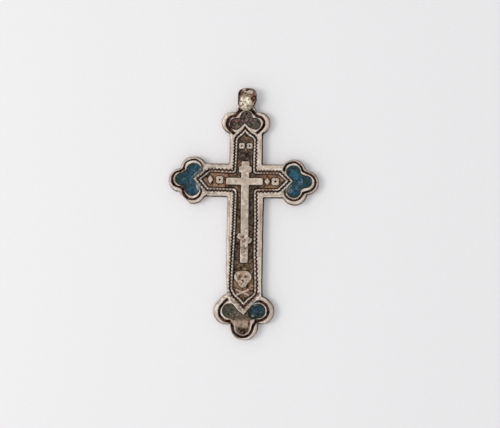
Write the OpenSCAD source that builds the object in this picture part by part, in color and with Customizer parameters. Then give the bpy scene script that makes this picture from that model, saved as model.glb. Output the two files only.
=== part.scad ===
// Pectoral cross with trefoil ends: one cast silver body with a barrel loop,
// and five pieces of enamel laid in its sunk beds.
// It lies on its back: X runs across the arms, Y up the cross and Z out of its face.
// The origin is the middle of the outline, on the flat back.

/* [Plate] */
// Thickness of the plate at its outer band
plate_t = 1.85; // [1.7:0.05:2.4]
// Width of the arm above the crossing
upper_arm_w = 6.55; // [6.3:0.05:6.9]
// Width of the two side arms
side_arm_w = 6.45; // [6.2:0.05:6.8]
// Width of the arm below the crossing
lower_arm_w = 7.2; // [6.9:0.05:7.5]

/* [Relief] */
// Width of the sunk groove along the outer band
groove_w = 0.36; // [0.25:0.01:0.45]
// Depth of that groove below the band
groove_depth = 0.7; // [0.4:0.05:0.9]
// Width of the raised line inside the groove of the arms
line_w = 0.34; // [0.25:0.01:0.38]
// Drop of the raised lines and inner rims below the band
line_drop = 0.15; // [0.05:0.05:0.3]
// Depth of the arms' floor below the band
floor_depth = 0.85; // [0.6:0.05:1.1]
// Depth of the enamel beds below the band
bed_depth = 0.95; // [0.6:0.05:1.2]
// Drop of the tall figures below the band
figure_drop = 0.1; // [0:0.05:0.2]
// Drop of the crossed bones below the band
low_figure_drop = 0.4; // [0.25:0.05:0.5]

/* [Raised cross] */
// Width of the upright
upright_w = 1.6; // [1.4:0.05:1.7]
// Length of the main bar
main_bar_l = 7.4; // [6.8:0.05:7.8]
// Height of the main bar
main_bar_h = 1.45; // [1.2:0.05:1.6]
// Length of the short upper bar
upper_bar_l = 2.6; // [2:0.05:2.8]
// Length of the slanted foot bar
foot_bar_l = 3.1; // [2.6:0.05:3.2]
// Slope of the foot bar
foot_bar_slope = 24; // [10:1:28]

/* [Enamel] */
// Drop of the enamel's face below the band
enamel_drop = 0.4; // [0.3:0.05:0.5]
// Gap between the enamel and the metal round it
enamel_gap = 0.03; // [0.02:0.01:0.05]

/* [Loop] */
// Width of the barrel loop along its hole
loop_w = 3.75; // [3.4:0.05:4]
// Height of the barrel loop above the back
loop_t = 3.0; // [2.8:0.1:3.4]
// Length of the barrel loop up the cross
loop_l = 4.0; // [3.7:0.05:4.3]
// Radius of the hole for the cord
bore_r = 0.85; // [0.7:0.05:0.95]
// Radius of the drop of solder at the loop's foot
solder_r = 1.45; // [1.3:0.05:1.6]

/* [Hidden] */
$fn = 64;
// How far a cut runs past the face, and a raised figure into the floor under it
over = 1;
sunk = 0.2;
// How far the straight side of a drawn-out disc stays inside it, so that it crosses the round ends cleanly
run_trim = 0.02;
// Every place below is measured from the middle of the crossing, X across and Y up

// Lobes of the outer edge, three to a trefoil: top, left, right, bottom.
// Each is a disc drawn out along a short run: x, y, run in x, run in y, radius
EDGE_LOBES = [
    [-2.62, 11.60, 0, 0, 2.25], [0.05, 13.40, 0, 0, 2.15], [2.62, 11.60, 0, 0, 2.28],
    [-10.45, 2.20, 0.2, 0, 2.58], [-12.88, -0.05, 0, 0, 2.45], [-10.45, -2.15, 0, 0, 2.60],
    [9.70, 2.05, 0, 0, 2.43], [12.40, -0.20, 0, 0, 2.40], [9.95, -2.20, 0, 0, 2.57],
    [-3.37, -26.18, 0.8, 1, 2.63], [0.25, -29.15, 0, 0, 2.80], [3.60, -26.05, -0.4, 0.4, 2.66]];

// Lobes of the groove's outer side, in the same order and columns
GROOVE_LOBES = [
    [-2.42, 11.46, 0.75, -0.75, 1.66], [0.00, 13.05, 0, 0, 1.80], [2.32, 11.62, -0.75, -0.8, 1.60],
    [-10.48, 2.32, 0.1, 0, 1.95], [-13.15, 0.15, 0, 0, 1.70], [-10.60, -1.95, 0, 0, 2.03],
    [9.53, 2.00, 0, 0, 2.09], [12.30, -0.10, 0, 0, 1.97], [9.80, -1.90, 0, 0, 2.02],
    [-2.88, -26.15, 0.6, 0.7, 2.17], [-0.05, -29.20, 0, 0, 2.24], [3.05, -25.95, 0, 0, 2.20]];
// Disc in the heart of each trefoil that eases the groove's way from lobe to lobe, in the same columns
GROOVE_HEARTS = [
    [0.00, 12.10, 0, 0, 2.50], [-11.20, 0.20, 0, 0, 2.50],
    [10.75, -0.15, 0, 0, 2.45], [-0.05, -27.20, 0, 0, 2.92]];

// Lobes of the enamel beds in the same columns, with more of them at each trefoil's heart
TOP_BED = [
    [-2.05, 11.42, 0, 0, 1.10], [0.05, 12.92, 0.05, 0.30, 0.85], [1.78, 11.50, 0, 0, 1.10],
    [-1.40, 11.65, 2.5, 0, 0.90], [-0.25, 12.85, 0.6, 0, 0.90]];
LEFT_BED = [
    [-10.30, 1.95, 0, 0, 1.50], [-12.75, 0.25, 0.6, 0, 1.25], [-10.60, -1.65, 0, 0, 1.45],
    [-11.20, 0.15, 0.4, 0, 1.50]];
RIGHT_BED = [
    [9.65, 1.85, 0, 0, 1.42], [12.20, 0.05, -0.5, 0, 1.20], [9.75, -1.85, 0, 0, 1.38],
    [10.75, 0.00, -0.5, 0, 1.30]];
BOTTOM_BED = [
    [-2.75, -26.00, 1.2, -0.5, 1.45], [-0.05, -29.40, 0.1, 2, 1.38], [2.95, -26.00, -1.4, -0.3, 1.45]];

// Straight worn flanks of the outer edge: x and y of a point on the flank, its heading, its length
WORN_FLANKS = [[-12.05, -3.62, -44, 4]];
worn_depth = 1;

// Corners of the sunk channel that runs through all four arms, clockwise from its top tip
CHANNEL = [
    [-0.20, 11.00], [0.85, 9.80], [1.85, 9.20], [2.35, 8.50], [2.24, 2.17],
    [7.05, 2.20], [9.15, 0.10], [6.85, -2.15],
    [2.50, -2.26], [2.66, -8.50], [2.57, -11.00], [2.60, -14.50], [2.88, -20.50], [2.85, -22.60],
    [2.20, -23.40], [0.05, -25.65], [-2.25, -23.10], [-2.95, -21.80], [-2.90, -19.00],
    [-2.80, -16.00], [-2.53, -10.50], [-2.36, -2.22], [-7.75, -2.10], [-9.95, 0.38], [-8.00, 2.00], [-7.30, 2.48],
    [-2.53, 2.30], [-2.40, 5.00], [-2.36, 8.40], [-1.90, 9.15], [-1.00, 9.90]];

// Band between each tip of the channel and the enamel: top, left, right, bottom.
// Its width, then the middle of the square in which it lies as x, y
ARCH_W = [0.42, 0.42, 0.36, 0.80];
ARCH_AT = [[0, 11.5], [-10.5, 0], [10.5, 0], [0, -26.5]];
arch_reach = 4.6;

// Middles of the straight arms, and how far they run into the top, left and right trefoil
upper_arm_x = 0.02;
lower_arm_x = 0.05;
side_arm_y = 0.12;
ARM_ENDS = [12, -11, 10.5];
// Lower arm: y, then how far its left and its right side stand out there
LOWER_ARM = [
    [0, -0.08, 0.06], [-12, 0.06, -0.02], [-18.5, 0.04, 0], [-22.3, -0.27, 0.07], [-28, -0.27, 0.07]];

// Raised cross: its upright's middle and ends, its bars' middles and its corners' rounding
upright_x = 0;
upright_top = 4.0;
upright_bottom = -16.4;
upper_bar_y = 2.35;
upper_bar_h = 1.3;
main_bar_x = -0.14;
main_bar_y = -0.04;
foot_bar_y = -11.45;
foot_bar_h = 1.2;
bar_round = 0.25;

// Skull: crown, two temples, cheeks and jaw, then its three sockets, as x, y, radius
SKULL_LOBES = [
    [-0.16, -19.45, 1.45], [-0.66, -19.20, 1.25], [0.34, -19.20, 1.25],
    [-0.16, -20.05, 1.10], [-0.16, -20.50, 0.80]];
SKULL_PITS = [[-0.68, -19.10, 0.28], [0.40, -19.12, 0.28], [-0.16, -19.90, 0.18]];
pit_depth = 0.35;
// Crossed bones
bones_at = [-0.2, -22.3];
bone_l = 2.5;
bone_w = 0.42;
bone_slope = 24;
knob_r = 0.27;

// Flowers: x, y, radius, then how far out their petals sit and the eye's size, as shares of it
FLOWERS = [[0.80, 7.05, 0.72], [-0.76, 7.05, 0.72], [-5.10, 0.20, 0.90], [6.05, 0.00, 0.90]];
petal_offset = 0.45;
flower_eye = 0.2;
// Lozenges: x, y, half width, half height
LOZENGES = [[-7.00, 0.25, 0.60, 0.90], [4.42, 0.00, 0.60, 0.90]];

// Loop: the middle of its width, the top of the cross and the rounding of the loop's corners
loop_x = 0.17;
loop_top = 18.65;
loop_corner = 0.55;
bore_drop = 1.7;
// Drop of solder: its middle, and how far its ball clears the back
solder_at = [-0.15, 15.6];
solder_lift = 0.2;

// Bottom trefoil: the disc that holds its right-hand piece of enamel as x, y, radius,
// the gap between its two pieces, and where its bare lobe begins
SPLIT_DISC = [2.95, -25.95, 1.92];
split_gap = 0.15;
bare_below = -27.8;

// Place of the crossing when the whole outline is centred on the origin
foot_left = EDGE_LOBES[9][0] - EDGE_LOBES[9][4];
foot_right = EDGE_LOBES[11][0] + EDGE_LOBES[11][4];
left_reach = EDGE_LOBES[4][0] - EDGE_LOBES[4][4];
right_reach = EDGE_LOBES[7][0] + EDGE_LOBES[7][4];
foot_reach = EDGE_LOBES[10][1] - EDGE_LOBES[10][4];
crossing = [-(left_reach + right_reach) / 2, -(loop_top + foot_reach) / 2, 0];

// Heights above the back
line_z = plate_t - line_drop;
groove_z = plate_t - groove_depth;
floor_z = plate_t - floor_depth;
bed_z = plate_t - bed_depth;
figure_z = plate_t - figure_drop;
low_figure_z = plate_t - low_figure_drop;
pit_z = figure_z - pit_depth;
enamel_z = plate_t - enamel_drop;
loop_foot = loop_top - loop_l;
bore_y = loop_top - bore_drop;

silver_colour = [0.76, 0.72, 0.67];
blue_colour = [0.13, 0.30, 0.38];
teal_colour = [0.12, 0.33, 0.38];
dark_colour = [0.27, 0.23, 0.22];
grey_colour = [0.33, 0.30, 0.26];
deep_blue_colour = [0.10, 0.22, 0.30];

// Discs drawn out along their runs, as one flat shape, each smaller by inset
module lobes(rows, inset = 0) {
    for (row = rows)
        translate([row[0], row[1]]) {
            run = norm([row[2], row[3]]);
            circle(r = row[4] - inset);
            translate([row[2], row[3]])
                circle(r = row[4] - inset);
            if (run > 0)
                rotate(atan2(row[3], row[2]))
                    translate([0, inset + run_trim - row[4]])
                        square([run, 2 * (row[4] - inset - run_trim)]);
        }
}

// Round spots as one flat shape: x, y, radius
module spots(rows) {
    for (row = rows)
        translate([row[0], row[1]])
            circle(r = row[2]);
}

// Flat bar from its low corner to its high one
module bar(low, high) {
    translate(low)
        square(high - low);
}

// Flat bar round its middle, with rounded corners
module round_bar(size, r) {
    square([size[0] - 2 * r, size[1]], center = true);
    square([size[0], size[1] - 2 * r], center = true);
    for (x = [-1, 1], y = [-1, 1])
        translate([x * (size[0] / 2 - r), y * (size[1] / 2 - r)])
            circle(r = r);
}

// Outline of the plate: lobes joined by the straight arms, less what has worn away
module plate_outline() {
    difference() {
        union() {
            lobes(EDGE_LOBES);
            bar([upper_arm_x - upper_arm_w / 2, 0], [upper_arm_x + upper_arm_w / 2, ARM_ENDS[0]]);
            bar([ARM_ENDS[1], side_arm_y - side_arm_w / 2], [ARM_ENDS[2], side_arm_y + side_arm_w / 2]);
            polygon(concat(
                [for (row = LOWER_ARM) [lower_arm_x - lower_arm_w / 2 - row[1], row[0]]],
                [for (i = [len(LOWER_ARM) - 1 : -1 : 0])
                    [lower_arm_x + lower_arm_w / 2 + LOWER_ARM[i][2], LOWER_ARM[i][0]]]));
        }
        for (row = WORN_FLANKS)
            translate([row[0], row[1]])
                rotate(row[2])
                    translate([-row[3] / 2, -worn_depth])
                        square([row[3], worn_depth]);
    }
}

// Outline of the channel, moved outwards by grow, or inwards where grow is below zero
module channel(grow = 0) {
    offset(delta = grow)
        polygon(CHANNEL);
}

// Channel with the pointed bands that part it from the trefoils, wider by grow
module fence(grow = 0) {
    for (i = [0 : 3])
        intersection() {
            channel(ARCH_W[i] + grow);
            translate(ARCH_AT[i])
                square(2 * arch_reach, center = true);
        }
}

// Beds for the enamel in one trefoil, smaller by inset all round
module bed(rows, inset = 0) {
    difference() {
        lobes(rows, inset);
        fence(inset);
    }
}

// Outer side of the trefoils' grooves, moved inwards by inset
module groove_side(inset = 0) {
    lobes(concat(GROOVE_LOBES, GROOVE_HEARTS), inset);
}

// Flat shape cut from height z up through the face
module sink(z) {
    translate([0, 0, z])
        linear_extrude(plate_t - z + over)
            children();
}

// Flat shape standing on the channel's floor, up to height z
module stand(z) {
    translate([0, 0, floor_z - sunk])
        linear_extrude(z - floor_z + sunk)
            children();
}

// Grooves, lines, floors and beds, as the solids that are cut from the plate
module sunk_work() {
    sink(line_z)
        channel();
    sink(groove_z)
        difference() {
            channel();
            channel(-groove_w);
        }
    sink(floor_z)
        channel(-groove_w - line_w);
    sink(line_z)
        difference() {
            groove_side();
            fence();
        }
    sink(groove_z)
        difference() {
            groove_side();
            groove_side(groove_w);
            fence();
        }
    sink(bed_z)
        for (rows = [TOP_BED, LEFT_BED, RIGHT_BED, BOTTOM_BED])
            bed(rows);
}

// Eight-pointed cross, seen from the front
module raised_cross() {
    translate([upright_x, (upright_top + upright_bottom) / 2])
        round_bar([upright_w, upright_top - upright_bottom], bar_round);
    translate([upright_x, upper_bar_y])
        round_bar([upper_bar_l, upper_bar_h], bar_round);
    translate([main_bar_x, main_bar_y])
        round_bar([main_bar_l, main_bar_h], bar_round);
    translate([upright_x, foot_bar_y])
        rotate(-foot_bar_slope)
            round_bar([foot_bar_l, foot_bar_h], bar_round);
}

// Skull seen from the front, with its sockets cut out of it
module skull() {
    difference() {
        spots(SKULL_LOBES);
        spots(SKULL_PITS);
    }
}

// Two crossed bones with a knob at each end
module crossbones() {
    translate(bones_at)
        for (slope = [-bone_slope, bone_slope])
            rotate(slope) {
                square([bone_l, bone_w], center = true);
                for (end = [-1, 1])
                    translate([end * bone_l / 2, 0])
                        circle(r = knob_r);
            }
}

// Flower of four round petals round a drilled eye
module flower(size) {
    difference() {
        union() {
            for (turn = [45 : 90 : 315])
                rotate(turn)
                    translate([size * petal_offset, 0])
                        circle(r = size * (1 - petal_offset));
        }
        circle(r = size * flower_eye);
    }
}

// Lozenge round its middle
module lozenge(half_w, half_h) {
    polygon([[half_w, 0], [0, half_h], [-half_w, 0], [0, -half_h]]);
}

// Everything that stands on the channel's floor
module relief() {
    stand(figure_z)
        raised_cross();
    stand(figure_z)
        skull();
    stand(pit_z)
        spots(SKULL_PITS);
    stand(low_figure_z)
        crossbones();
    for (row = FLOWERS)
        translate([row[0], row[1], 0])
            stand(figure_z)
                flower(row[2]);
    for (row = LOZENGES)
        translate([row[0], row[1], 0])
            stand(figure_z)
                lozenge(row[2], row[3]);
}

// Barrel loop: a flattened tube along X, with rounded corners seen from the front
module loop() {
    intersection() {
        translate([loop_x - loop_w / 2, 0, 0])
            rotate([90, 0, 90])
                linear_extrude(loop_w) {
                    for (y = [loop_foot + loop_t / 2, loop_top - loop_t / 2])
                        translate([y, loop_t / 2])
                            circle(r = loop_t / 2);
                    bar([loop_foot + loop_t / 2, 0], [loop_top - loop_t / 2, loop_t]);
                }
        translate([loop_x, (loop_foot + loop_top) / 2, 0])
            linear_extrude(loop_t)
                round_bar([loop_w, loop_l], loop_corner);
    }
}

// Hole for the cord, right through the loop
module cord_hole() {
    translate([loop_x - loop_w, bore_y, loop_t / 2])
        rotate([0, 90, 0])
            cylinder(r = bore_r, h = 2 * loop_w);
}

// Drop of solder between the loop and the plate, with its poles inside the loop
module solder_drop() {
    translate([solder_at[0], solder_at[1], solder_r + solder_lift])
        rotate([0, 90, 0])
            sphere(r = solder_r);
}

module cross_body() {
    color(silver_colour)
        translate(crossing)
            difference() {
                union() {
                    difference() {
                        linear_extrude(plate_t)
                            plate_outline();
                        sunk_work();
                    }
                    relief();
                    loop();
                    solder_drop();
                }
                cord_hole();
            }
}

// Slab of enamel lying in a bed, clear of the metal round it
module slab() {
    translate(crossing)
        translate([0, 0, bed_z + enamel_gap])
            linear_extrude(enamel_z - bed_z - enamel_gap)
                children();
}

module enamel_top() {
    color(dark_colour)
        slab()
            bed(TOP_BED, enamel_gap);
}

module enamel_left() {
    color(blue_colour)
        slab()
            bed(LEFT_BED, enamel_gap);
}

module enamel_right() {
    color(teal_colour)
        slab()
            bed(RIGHT_BED, enamel_gap);
}

module enamel_bottom_left() {
    color(grey_colour)
        slab()
            difference() {
                intersection() {
                    bed(BOTTOM_BED, enamel_gap);
                    bar([foot_left, bare_below], [foot_right, 0]);
                }
                spots([SPLIT_DISC + [0, 0, split_gap]]);
            }
}

module enamel_bottom_right() {
    color(deep_blue_colour)
        slab()
            intersection() {
                bed(BOTTOM_BED, enamel_gap);
                spots([SPLIT_DISC]);
            }
}

cross_body();
enamel_top();
enamel_left();
enamel_right();
enamel_bottom_left();
enamel_bottom_right();
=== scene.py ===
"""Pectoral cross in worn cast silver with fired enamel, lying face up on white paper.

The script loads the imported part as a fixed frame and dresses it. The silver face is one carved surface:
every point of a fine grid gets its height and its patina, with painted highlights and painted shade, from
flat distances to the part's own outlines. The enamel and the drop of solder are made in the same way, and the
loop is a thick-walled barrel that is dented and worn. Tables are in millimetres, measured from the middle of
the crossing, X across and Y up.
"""

import math
from types import SimpleNamespace

import bpy
import numpy as np
from bpy.props import FloatProperty, FloatVectorProperty, PointerProperty
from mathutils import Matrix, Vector
from mathutils.geometry import delaunay_2d_cdt


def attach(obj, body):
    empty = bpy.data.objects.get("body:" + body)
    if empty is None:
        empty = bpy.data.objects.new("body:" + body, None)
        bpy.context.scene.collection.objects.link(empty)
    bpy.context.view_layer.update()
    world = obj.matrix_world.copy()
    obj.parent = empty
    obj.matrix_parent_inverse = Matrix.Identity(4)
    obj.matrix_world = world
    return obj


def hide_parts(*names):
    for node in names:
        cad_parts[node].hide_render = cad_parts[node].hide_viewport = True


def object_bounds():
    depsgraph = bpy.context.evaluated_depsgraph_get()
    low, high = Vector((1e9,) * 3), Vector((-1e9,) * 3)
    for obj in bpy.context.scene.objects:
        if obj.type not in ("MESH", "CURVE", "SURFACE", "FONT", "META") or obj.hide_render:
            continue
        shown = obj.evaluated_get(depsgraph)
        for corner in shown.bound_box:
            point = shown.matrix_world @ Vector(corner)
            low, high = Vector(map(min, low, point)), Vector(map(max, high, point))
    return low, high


bl_info = {
    "name": "Pectoral cross",
    "version": (1, 0, 0),
    "blender": (4, 5, 0),
    "location": "3D Viewport > Sidebar > Cross",
    "description": "Dresses a cast silver pectoral cross and sets its stage",
    "category": "Add Mesh",
}

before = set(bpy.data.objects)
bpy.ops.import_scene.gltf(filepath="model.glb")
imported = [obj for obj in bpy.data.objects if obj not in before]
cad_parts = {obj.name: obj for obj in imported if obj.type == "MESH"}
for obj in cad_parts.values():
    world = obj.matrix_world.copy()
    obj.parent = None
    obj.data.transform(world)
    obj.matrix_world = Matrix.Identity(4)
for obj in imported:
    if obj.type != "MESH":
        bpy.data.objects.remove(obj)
cad_low, cad_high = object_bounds()

MM = 0.001  # metres in a millimetre, the unit of the tables below

# Lobes of the outer edge, three to a trefoil: top, left, right, bottom.
# Each is a disc drawn out along a short run: x, y, run in x, run in y, radius
EDGE_LOBES = [
    (-2.62, 11.6, 0, 0, 2.25), (0.05, 13.4, 0, 0, 2.15), (2.62, 11.6, 0, 0, 2.28),
    (-10.45, 2.2, 0.2, 0, 2.58), (-12.88, -0.05, 0, 0, 2.45), (-10.45, -2.15, 0, 0, 2.6),
    (9.7, 2.05, 0, 0, 2.43), (12.4, -0.2, 0, 0, 2.4), (9.95, -2.2, 0, 0, 2.57),
    (-3.37, -26.18, 0.8, 1, 2.63), (0.25, -29.15, 0, 0, 2.8), (3.6, -26.05, -0.4, 0.4, 2.66),
]
# Discs that ease the outer edge's way between the right trefoil's lobes, in the same columns
EDGE_EASES = [(11.35, 1.7, 0, 0, 1.2), (11.4, -1.8, 0, 0, 1.3)]

# Lobes of the groove's outer side, in the same order and columns
GROOVE_LOBES = [
    (-2.42, 11.46, 0.75, -0.75, 1.66), (0.0, 13.05, 0, 0, 1.8), (2.32, 11.62, -0.75, -0.8, 1.6),
    (-10.48, 2.32, 0.1, 0, 1.95), (-13.15, 0.15, 0, 0, 1.7), (-10.6, -1.95, 0, 0, 2.03),
    (9.53, 2.0, 0, 0, 2.09), (12.3, -0.1, 0, 0, 1.97), (9.8, -1.9, 0, 0, 2.02),
    (-2.88, -26.15, 0.6, 0.7, 2.17), (-0.05, -29.2, 0, 0, 2.24), (3.05, -25.95, 0, 0, 2.2),
]

# Discs that ease the groove's way from lobe to lobe, one in each trefoil's heart and one more in the
# right one's, in the same columns
GROOVE_HEARTS = [
    (0.0, 12.1, 0, 0, 2.5), (-11.2, 0.2, 0, 0, 2.5), (10.75, -0.15, 0, 0, 2.45),
    (-0.05, -27.2, 0, 0, 2.92), (11.2, 0.9, 0, 0, 1.45),
]

# Lobes of the enamel beds, in the same columns
TOP_BED = [
    (-2.1, 11.42, 0, 0, 1.16), (0.05, 12.92, 0.05, 0.3, 0.85), (1.84, 11.5, 0, 0, 1.13),
    (-1.4, 11.65, 2.5, 0, 0.9), (-0.25, 12.85, 0.6, 0, 0.9),
]
LEFT_BED = [
    (-10.3, 1.95, 0, 0, 1.5), (-12.75, 0.25, 0.6, 0, 1.25), (-10.6, -1.65, 0, 0, 1.45),
    (-11.2, 0.15, 0.4, 0, 1.5),
]
RIGHT_BED = [
    (9.65, 1.85, 0, 0, 1.42), (12.2, 0.05, -0.5, 0, 1.2), (9.75, -1.85, 0, 0, 1.38),
    (10.75, 0.0, -0.5, 0, 1.3),
]
BOTTOM_BED = [
    (-2.75, -26.0, 1.2, -0.5, 1.45), (-0.05, -29.4, 0.1, 2, 1.38), (3.02, -26.0, -1.4, -0.3, 1.45),
]

# Corners of the sunk channel through all four arms, clockwise from its top tip. Each has x, y and,
# for the side that starts there: how plain the beads of its raised line are, how tall that line
# still is, how plain the teeth on the band beside it are, and the pitch of both
CHANNEL = [
    (-0.2, 11.0, 0.3, 0.9, 0.2, 0.65), (0.85, 9.8, 0.3, 0.9, 0.2, 0.65), (1.85, 9.2, 0.4, 0.9, 0.3, 0.65),
    (2.35, 8.5, 0.8, 0.8, 1.0, 0.65), (2.24, 2.17, 0.9, 0.6, 0.8, 0.61), (7.05, 2.2, 0.5, 0.9, 0.7, 0.66),
    (9.15, 0.1, 0.5, 1.0, 0.7, 0.66), (6.85, -2.15, 0.7, 0.8, 0.9, 0.69), (2.5, -2.26, 1.0, 0.9, 1.0, 0.72),
    (2.66, -8.5, 1.0, 0.8, 1.0, 0.77), (2.57, -11.0, 1.0, 0.7, 0.9, 0.77),
    (2.6, -14.5, 1.0, 0.8, 1.0, 0.83), (2.88, -20.5, 0.8, 0.5, 0.9, 0.83),
    (2.85, -22.6, 0.5, 0.7, 0.5, 0.7), (2.2, -23.4, 0.4, 0.8, 0.4, 0.7),
    (0.05, -25.65, 0.4, 1.0, 0.5, 0.66), (-2.25, -23.1, 0.5, 0.9, 0.4, 0.66),
    (-2.95, -21.8, 0.8, 0.7, 0.7, 0.64), (-2.9, -19.0, 0.9, 0.9, 0.9, 0.64),
    (-2.8, -16.0, 0.9, 0.9, 1.0, 0.61), (-2.53, -10.5, 0.9, 0.9, 1.0, 0.57),
    (-2.36, -2.22, 1.0, 0.9, 0.8, 0.64), (-7.75, -2.1, 0.5, 1.0, 0.5, 0.66),
    (-9.85, 0.3, 0.4, 0.5, 0.4, 0.66), (-7.9, 1.9, 0.4, 0.4, 0.5, 0.7), (-7.3, 2.48, 0.8, 0.4, 1.0, 0.73),
    (-2.53, 2.3, 0.8, 0.9, 1.0, 0.6), (-2.4, 5.0, 0.8, 0.9, 0.9, 0.6), (-2.36, 8.4, 0.5, 0.9, 0.4, 0.65),
    (-1.9, 9.15, 0.3, 0.9, 0.2, 0.65), (-1.0, 9.9, 0.3, 0.9, 0.2, 0.65),
]

# Band between each tip of the channel and the enamel: its width, how much wider it is on its left and
# narrower on its right, the middle of its square, the tone and the cover of the film on it, and how bright
# the rubbed line with its painted highlight along its outer side is
ARCHES = [
    (0.42, 0, 0, 11.5, "tan", 0.45, 0.6), (0.42, 0, -10.5, 0, "pale_glass", 0.85, 0.1),
    (0.3, 0, 10.5, 0, "pale_glass", 0.6, 1.0), (0.8, 0.15, 0, -26.5, "film", 1.0, 1.0),
]
ARCH_REACH = 4.6
# Tips of the channel, each with the way it points, where the bands run to a sharp point
TIPS = [(-0.2, 11.0, 0, 1), (-9.85, 0.3, -1, 0), (9.15, 0.1, 1, 0), (0.05, -25.65, 0, -1)]
# The trefoils begin this far from the crossing to the side. The upright's middle lies at this
# height, and from there the upright reaches this much farther each way
TREFOILS_BEGIN, UPRIGHT_MIDDLE, UPRIGHT_MORE = 7.6, -6.75, 8.95

# The straight arms: upper, left and right arm as low corner and high corner, lower arm as corners
STRAIGHT_ARMS = [((-3.255, 0), (3.45, 12)), ((-11, -3.26), (0, 3.46)), ((0, -3.38), (10.5, 3.43))]
LOWER_ARM = [
    (-3.47, 0), (-3.61, -12), (-3.59, -18.5), (-3.28, -22.3), (-3.28, -28),
    (3.79, -28), (3.8, -22.3), (3.77, -18.5), (3.77, -12), (3.84, 0),
]
# Straight worn flank of the left trefoil: middle of the cut-away, half its size, its slope
WORN_FLANK = (-12.4, -3.98, 2.0, 0.5, -44)

# Raised cross: each bar's middle, half its size, its slope
CROSS_BARS = [
    (0, -6.2, 0.8, 10.2, 0), (0, 2.35, 1.3, 0.65, 0), (-0.14, -0.04, 3.7, 0.725, 0),
    (0, -11.45, 1.55, 0.6, -24),
]
# Skull: crown, two temples, cheeks and jaw, then its sockets, as x, y, radius
SKULL_LOBES = [
    (-0.16, -19.45, 1.45), (-0.66, -19.2, 1.25), (0.34, -19.2, 1.25),
    (-0.16, -20.05, 1.1), (-0.16, -20.5, 0.8),
]
SKULL_PITS = [(-0.68, -19.1, 0.28), (0.4, -19.12, 0.28), (-0.16, -19.9, 0.18)]
# Crossed bones: middle, half a bone's length and width, its slope, the radius of its knobs
BONES = (-0.2, -22.3, 1.25, 0.21, 24, 0.27)
# Flowers of four petals round a drilled eye: x, y, radius
FLOWERS = [(0.8, 7.05, 0.72), (-0.76, 7.05, 0.72), (-5.1, 0.2, 0.9), (6.05, 0.0, 0.9)]
# Ways that the petals point, the same to the side and up. Then how far out a petal lies, and the
# radii of a petal and of the eye, as shares of the flower's radius
PETALS = (-0.7, 0.7)
PETAL_AWAY, PETAL_R, EYE_R = 0.45, 0.55, 0.2
# Lozenges: x, y, half width, half height
LOZENGES = [(-7.0, 0.25, 0.6, 0.9), (4.42, 0.0, 0.6, 0.9)]

# Heights above the back
BAND_Z = 1.85
LINE_Z = 1.7
GROOVE_Z = 1.15
FLOOR_Z = 1.0
BED_Z = 0.9
FIGURE_Z = 1.75
BONE_Z = 1.45
PIT_Z = 1.4
ENAMEL_Z = 1.45

# How far the face falls over the outer edge's rounding and at its lip, and how wide the lip is
EDGE_FALL, LIP_FALL, LIP_WIDTH = 0.25, 0.7, 0.2
# Dip along the band: how far in from the outer edge, how much less so on the trefoils, its depth
DIP_PLACE, DIP_SHIFT, DIP_DEPTH = 0.62, 0.26, 0.04
# How much lower the raised line lies where it is worn down and between its beads, and how far the
# teeth beside it stand out
LINE_WEAR, BEAD_DEPTH, TOOTH_REACH = 0.4, 0.3, 0.22
# Fillets where the lobes of a bed meet, in the side trefoils and in the other two, and how far the
# enamel reaches into the walls of its bed
SIDE_BED_EASE, BED_EASE, ENAMEL_REACH = 0.8, 0.35, 0.05
# Top of the enamel: how far it climbs its walls and over what width, how far it dips in the middle,
# how much lower it lies by the bare lobe, and the depth of its pits
ENAMEL_CLIMB, CLIMB_WIDTH, ENAMEL_DIP, ENAMEL_WEAR, ENAMEL_PITS = 0.1, 0.16, 0.03, 0.3, 0.05
# How much painted shade the outer edge gets where it faces right, down and up
SHADE_RIGHT, SHADE_BELOW, SHADE_ABOVE = 1.1, 0.85, 0.3

# Side walls as rings below the face: how far each stands in from the outline, its height above the
# back. The last is the back's edge
SILVER_RINGS = [(0.0, 0.65), (0.0, 0.4), (0.05, 0.22), (0.16, 0.08), (0.34, 0.0)]
ENAMEL_RINGS = [(0.0, 1.15), (0.0, 0.93)]
SOLDER_RINGS = [(0.0, 1.35), (0.1, 1.2)]
# Box that holds the plate, spacing of the points on its back and on the small pieces' backs, and
# of the points on the solder
PLATE_BOX = ((-15.8, -32.4), (15.4, 16.0))
BACK_PITCH, SMALL_BACK_PITCH, SOLDER_PITCH = 0.35, 0.3, 0.05

# Loop: middle of its width, half its width, the bore's axis, the two middles of its flattened
# round section, that section's radius, the bore's radius and the rounding of its corners
LOOP_X, LOOP_HALF_W = 0.17, 1.875
BORE_Y, BORE_Z, BORE_R = 16.95, 1.5, 0.85
LOOP_SECTION = (16.15, 17.15, 1.5)
LOOP_CORNER = 0.75
# Rounding of the bore's mouths, and how far the loop's front is rubbed down
BORE_EASE = 0.08
LOOP_WEAR = 0.22
# Corners of the wall's section: side of the loop, radius, first angle, and into how many steps the
# straight that follows is split
WALL_CORNERS = [
    (1, BORE_EASE, -90, 4), (1, LOOP_CORNER, 0, 40), (-1, LOOP_CORNER, 90, 4), (-1, BORE_EASE, 180, 40),
]
# The loop narrows on its right towards the plate: by how much, from which height, over how far
LOOP_TAPER = (0.42, 16.1, 1.1)
# Its worn shoulders draw in towards its top: by what share, from which height, over how far
LOOP_SHOULDERS = (0.3, 17.2, 1.4)
# Dents in the loop's front: x, y, half width, half height, turn, depth
LOOP_DENTS = [
    (0.35, 18.15, 0.75, 0.28, 0, 0.16), (1.5, 17.95, 0.25, 0.22, 0, 0.14),
    (-1.15, 17.55, 0.45, 0.5, 0, 0.06), (1.35, 16.6, 0.4, 0.6, 0, 0.08), (1.7, 15.35, 0.22, 0.5, -30, 0.12),
]
# Places of the loop with few bright specks: middle, reach along x and y, how many fewer
LOOP_DARKS = [(1.7, 16.4, 0.7, 0.9, 0.9), (-1.3, 17.0, 0.5, 1.4, 0.9), (0.35, 18.2, 0.9, 0.4, 0.9)]
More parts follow.
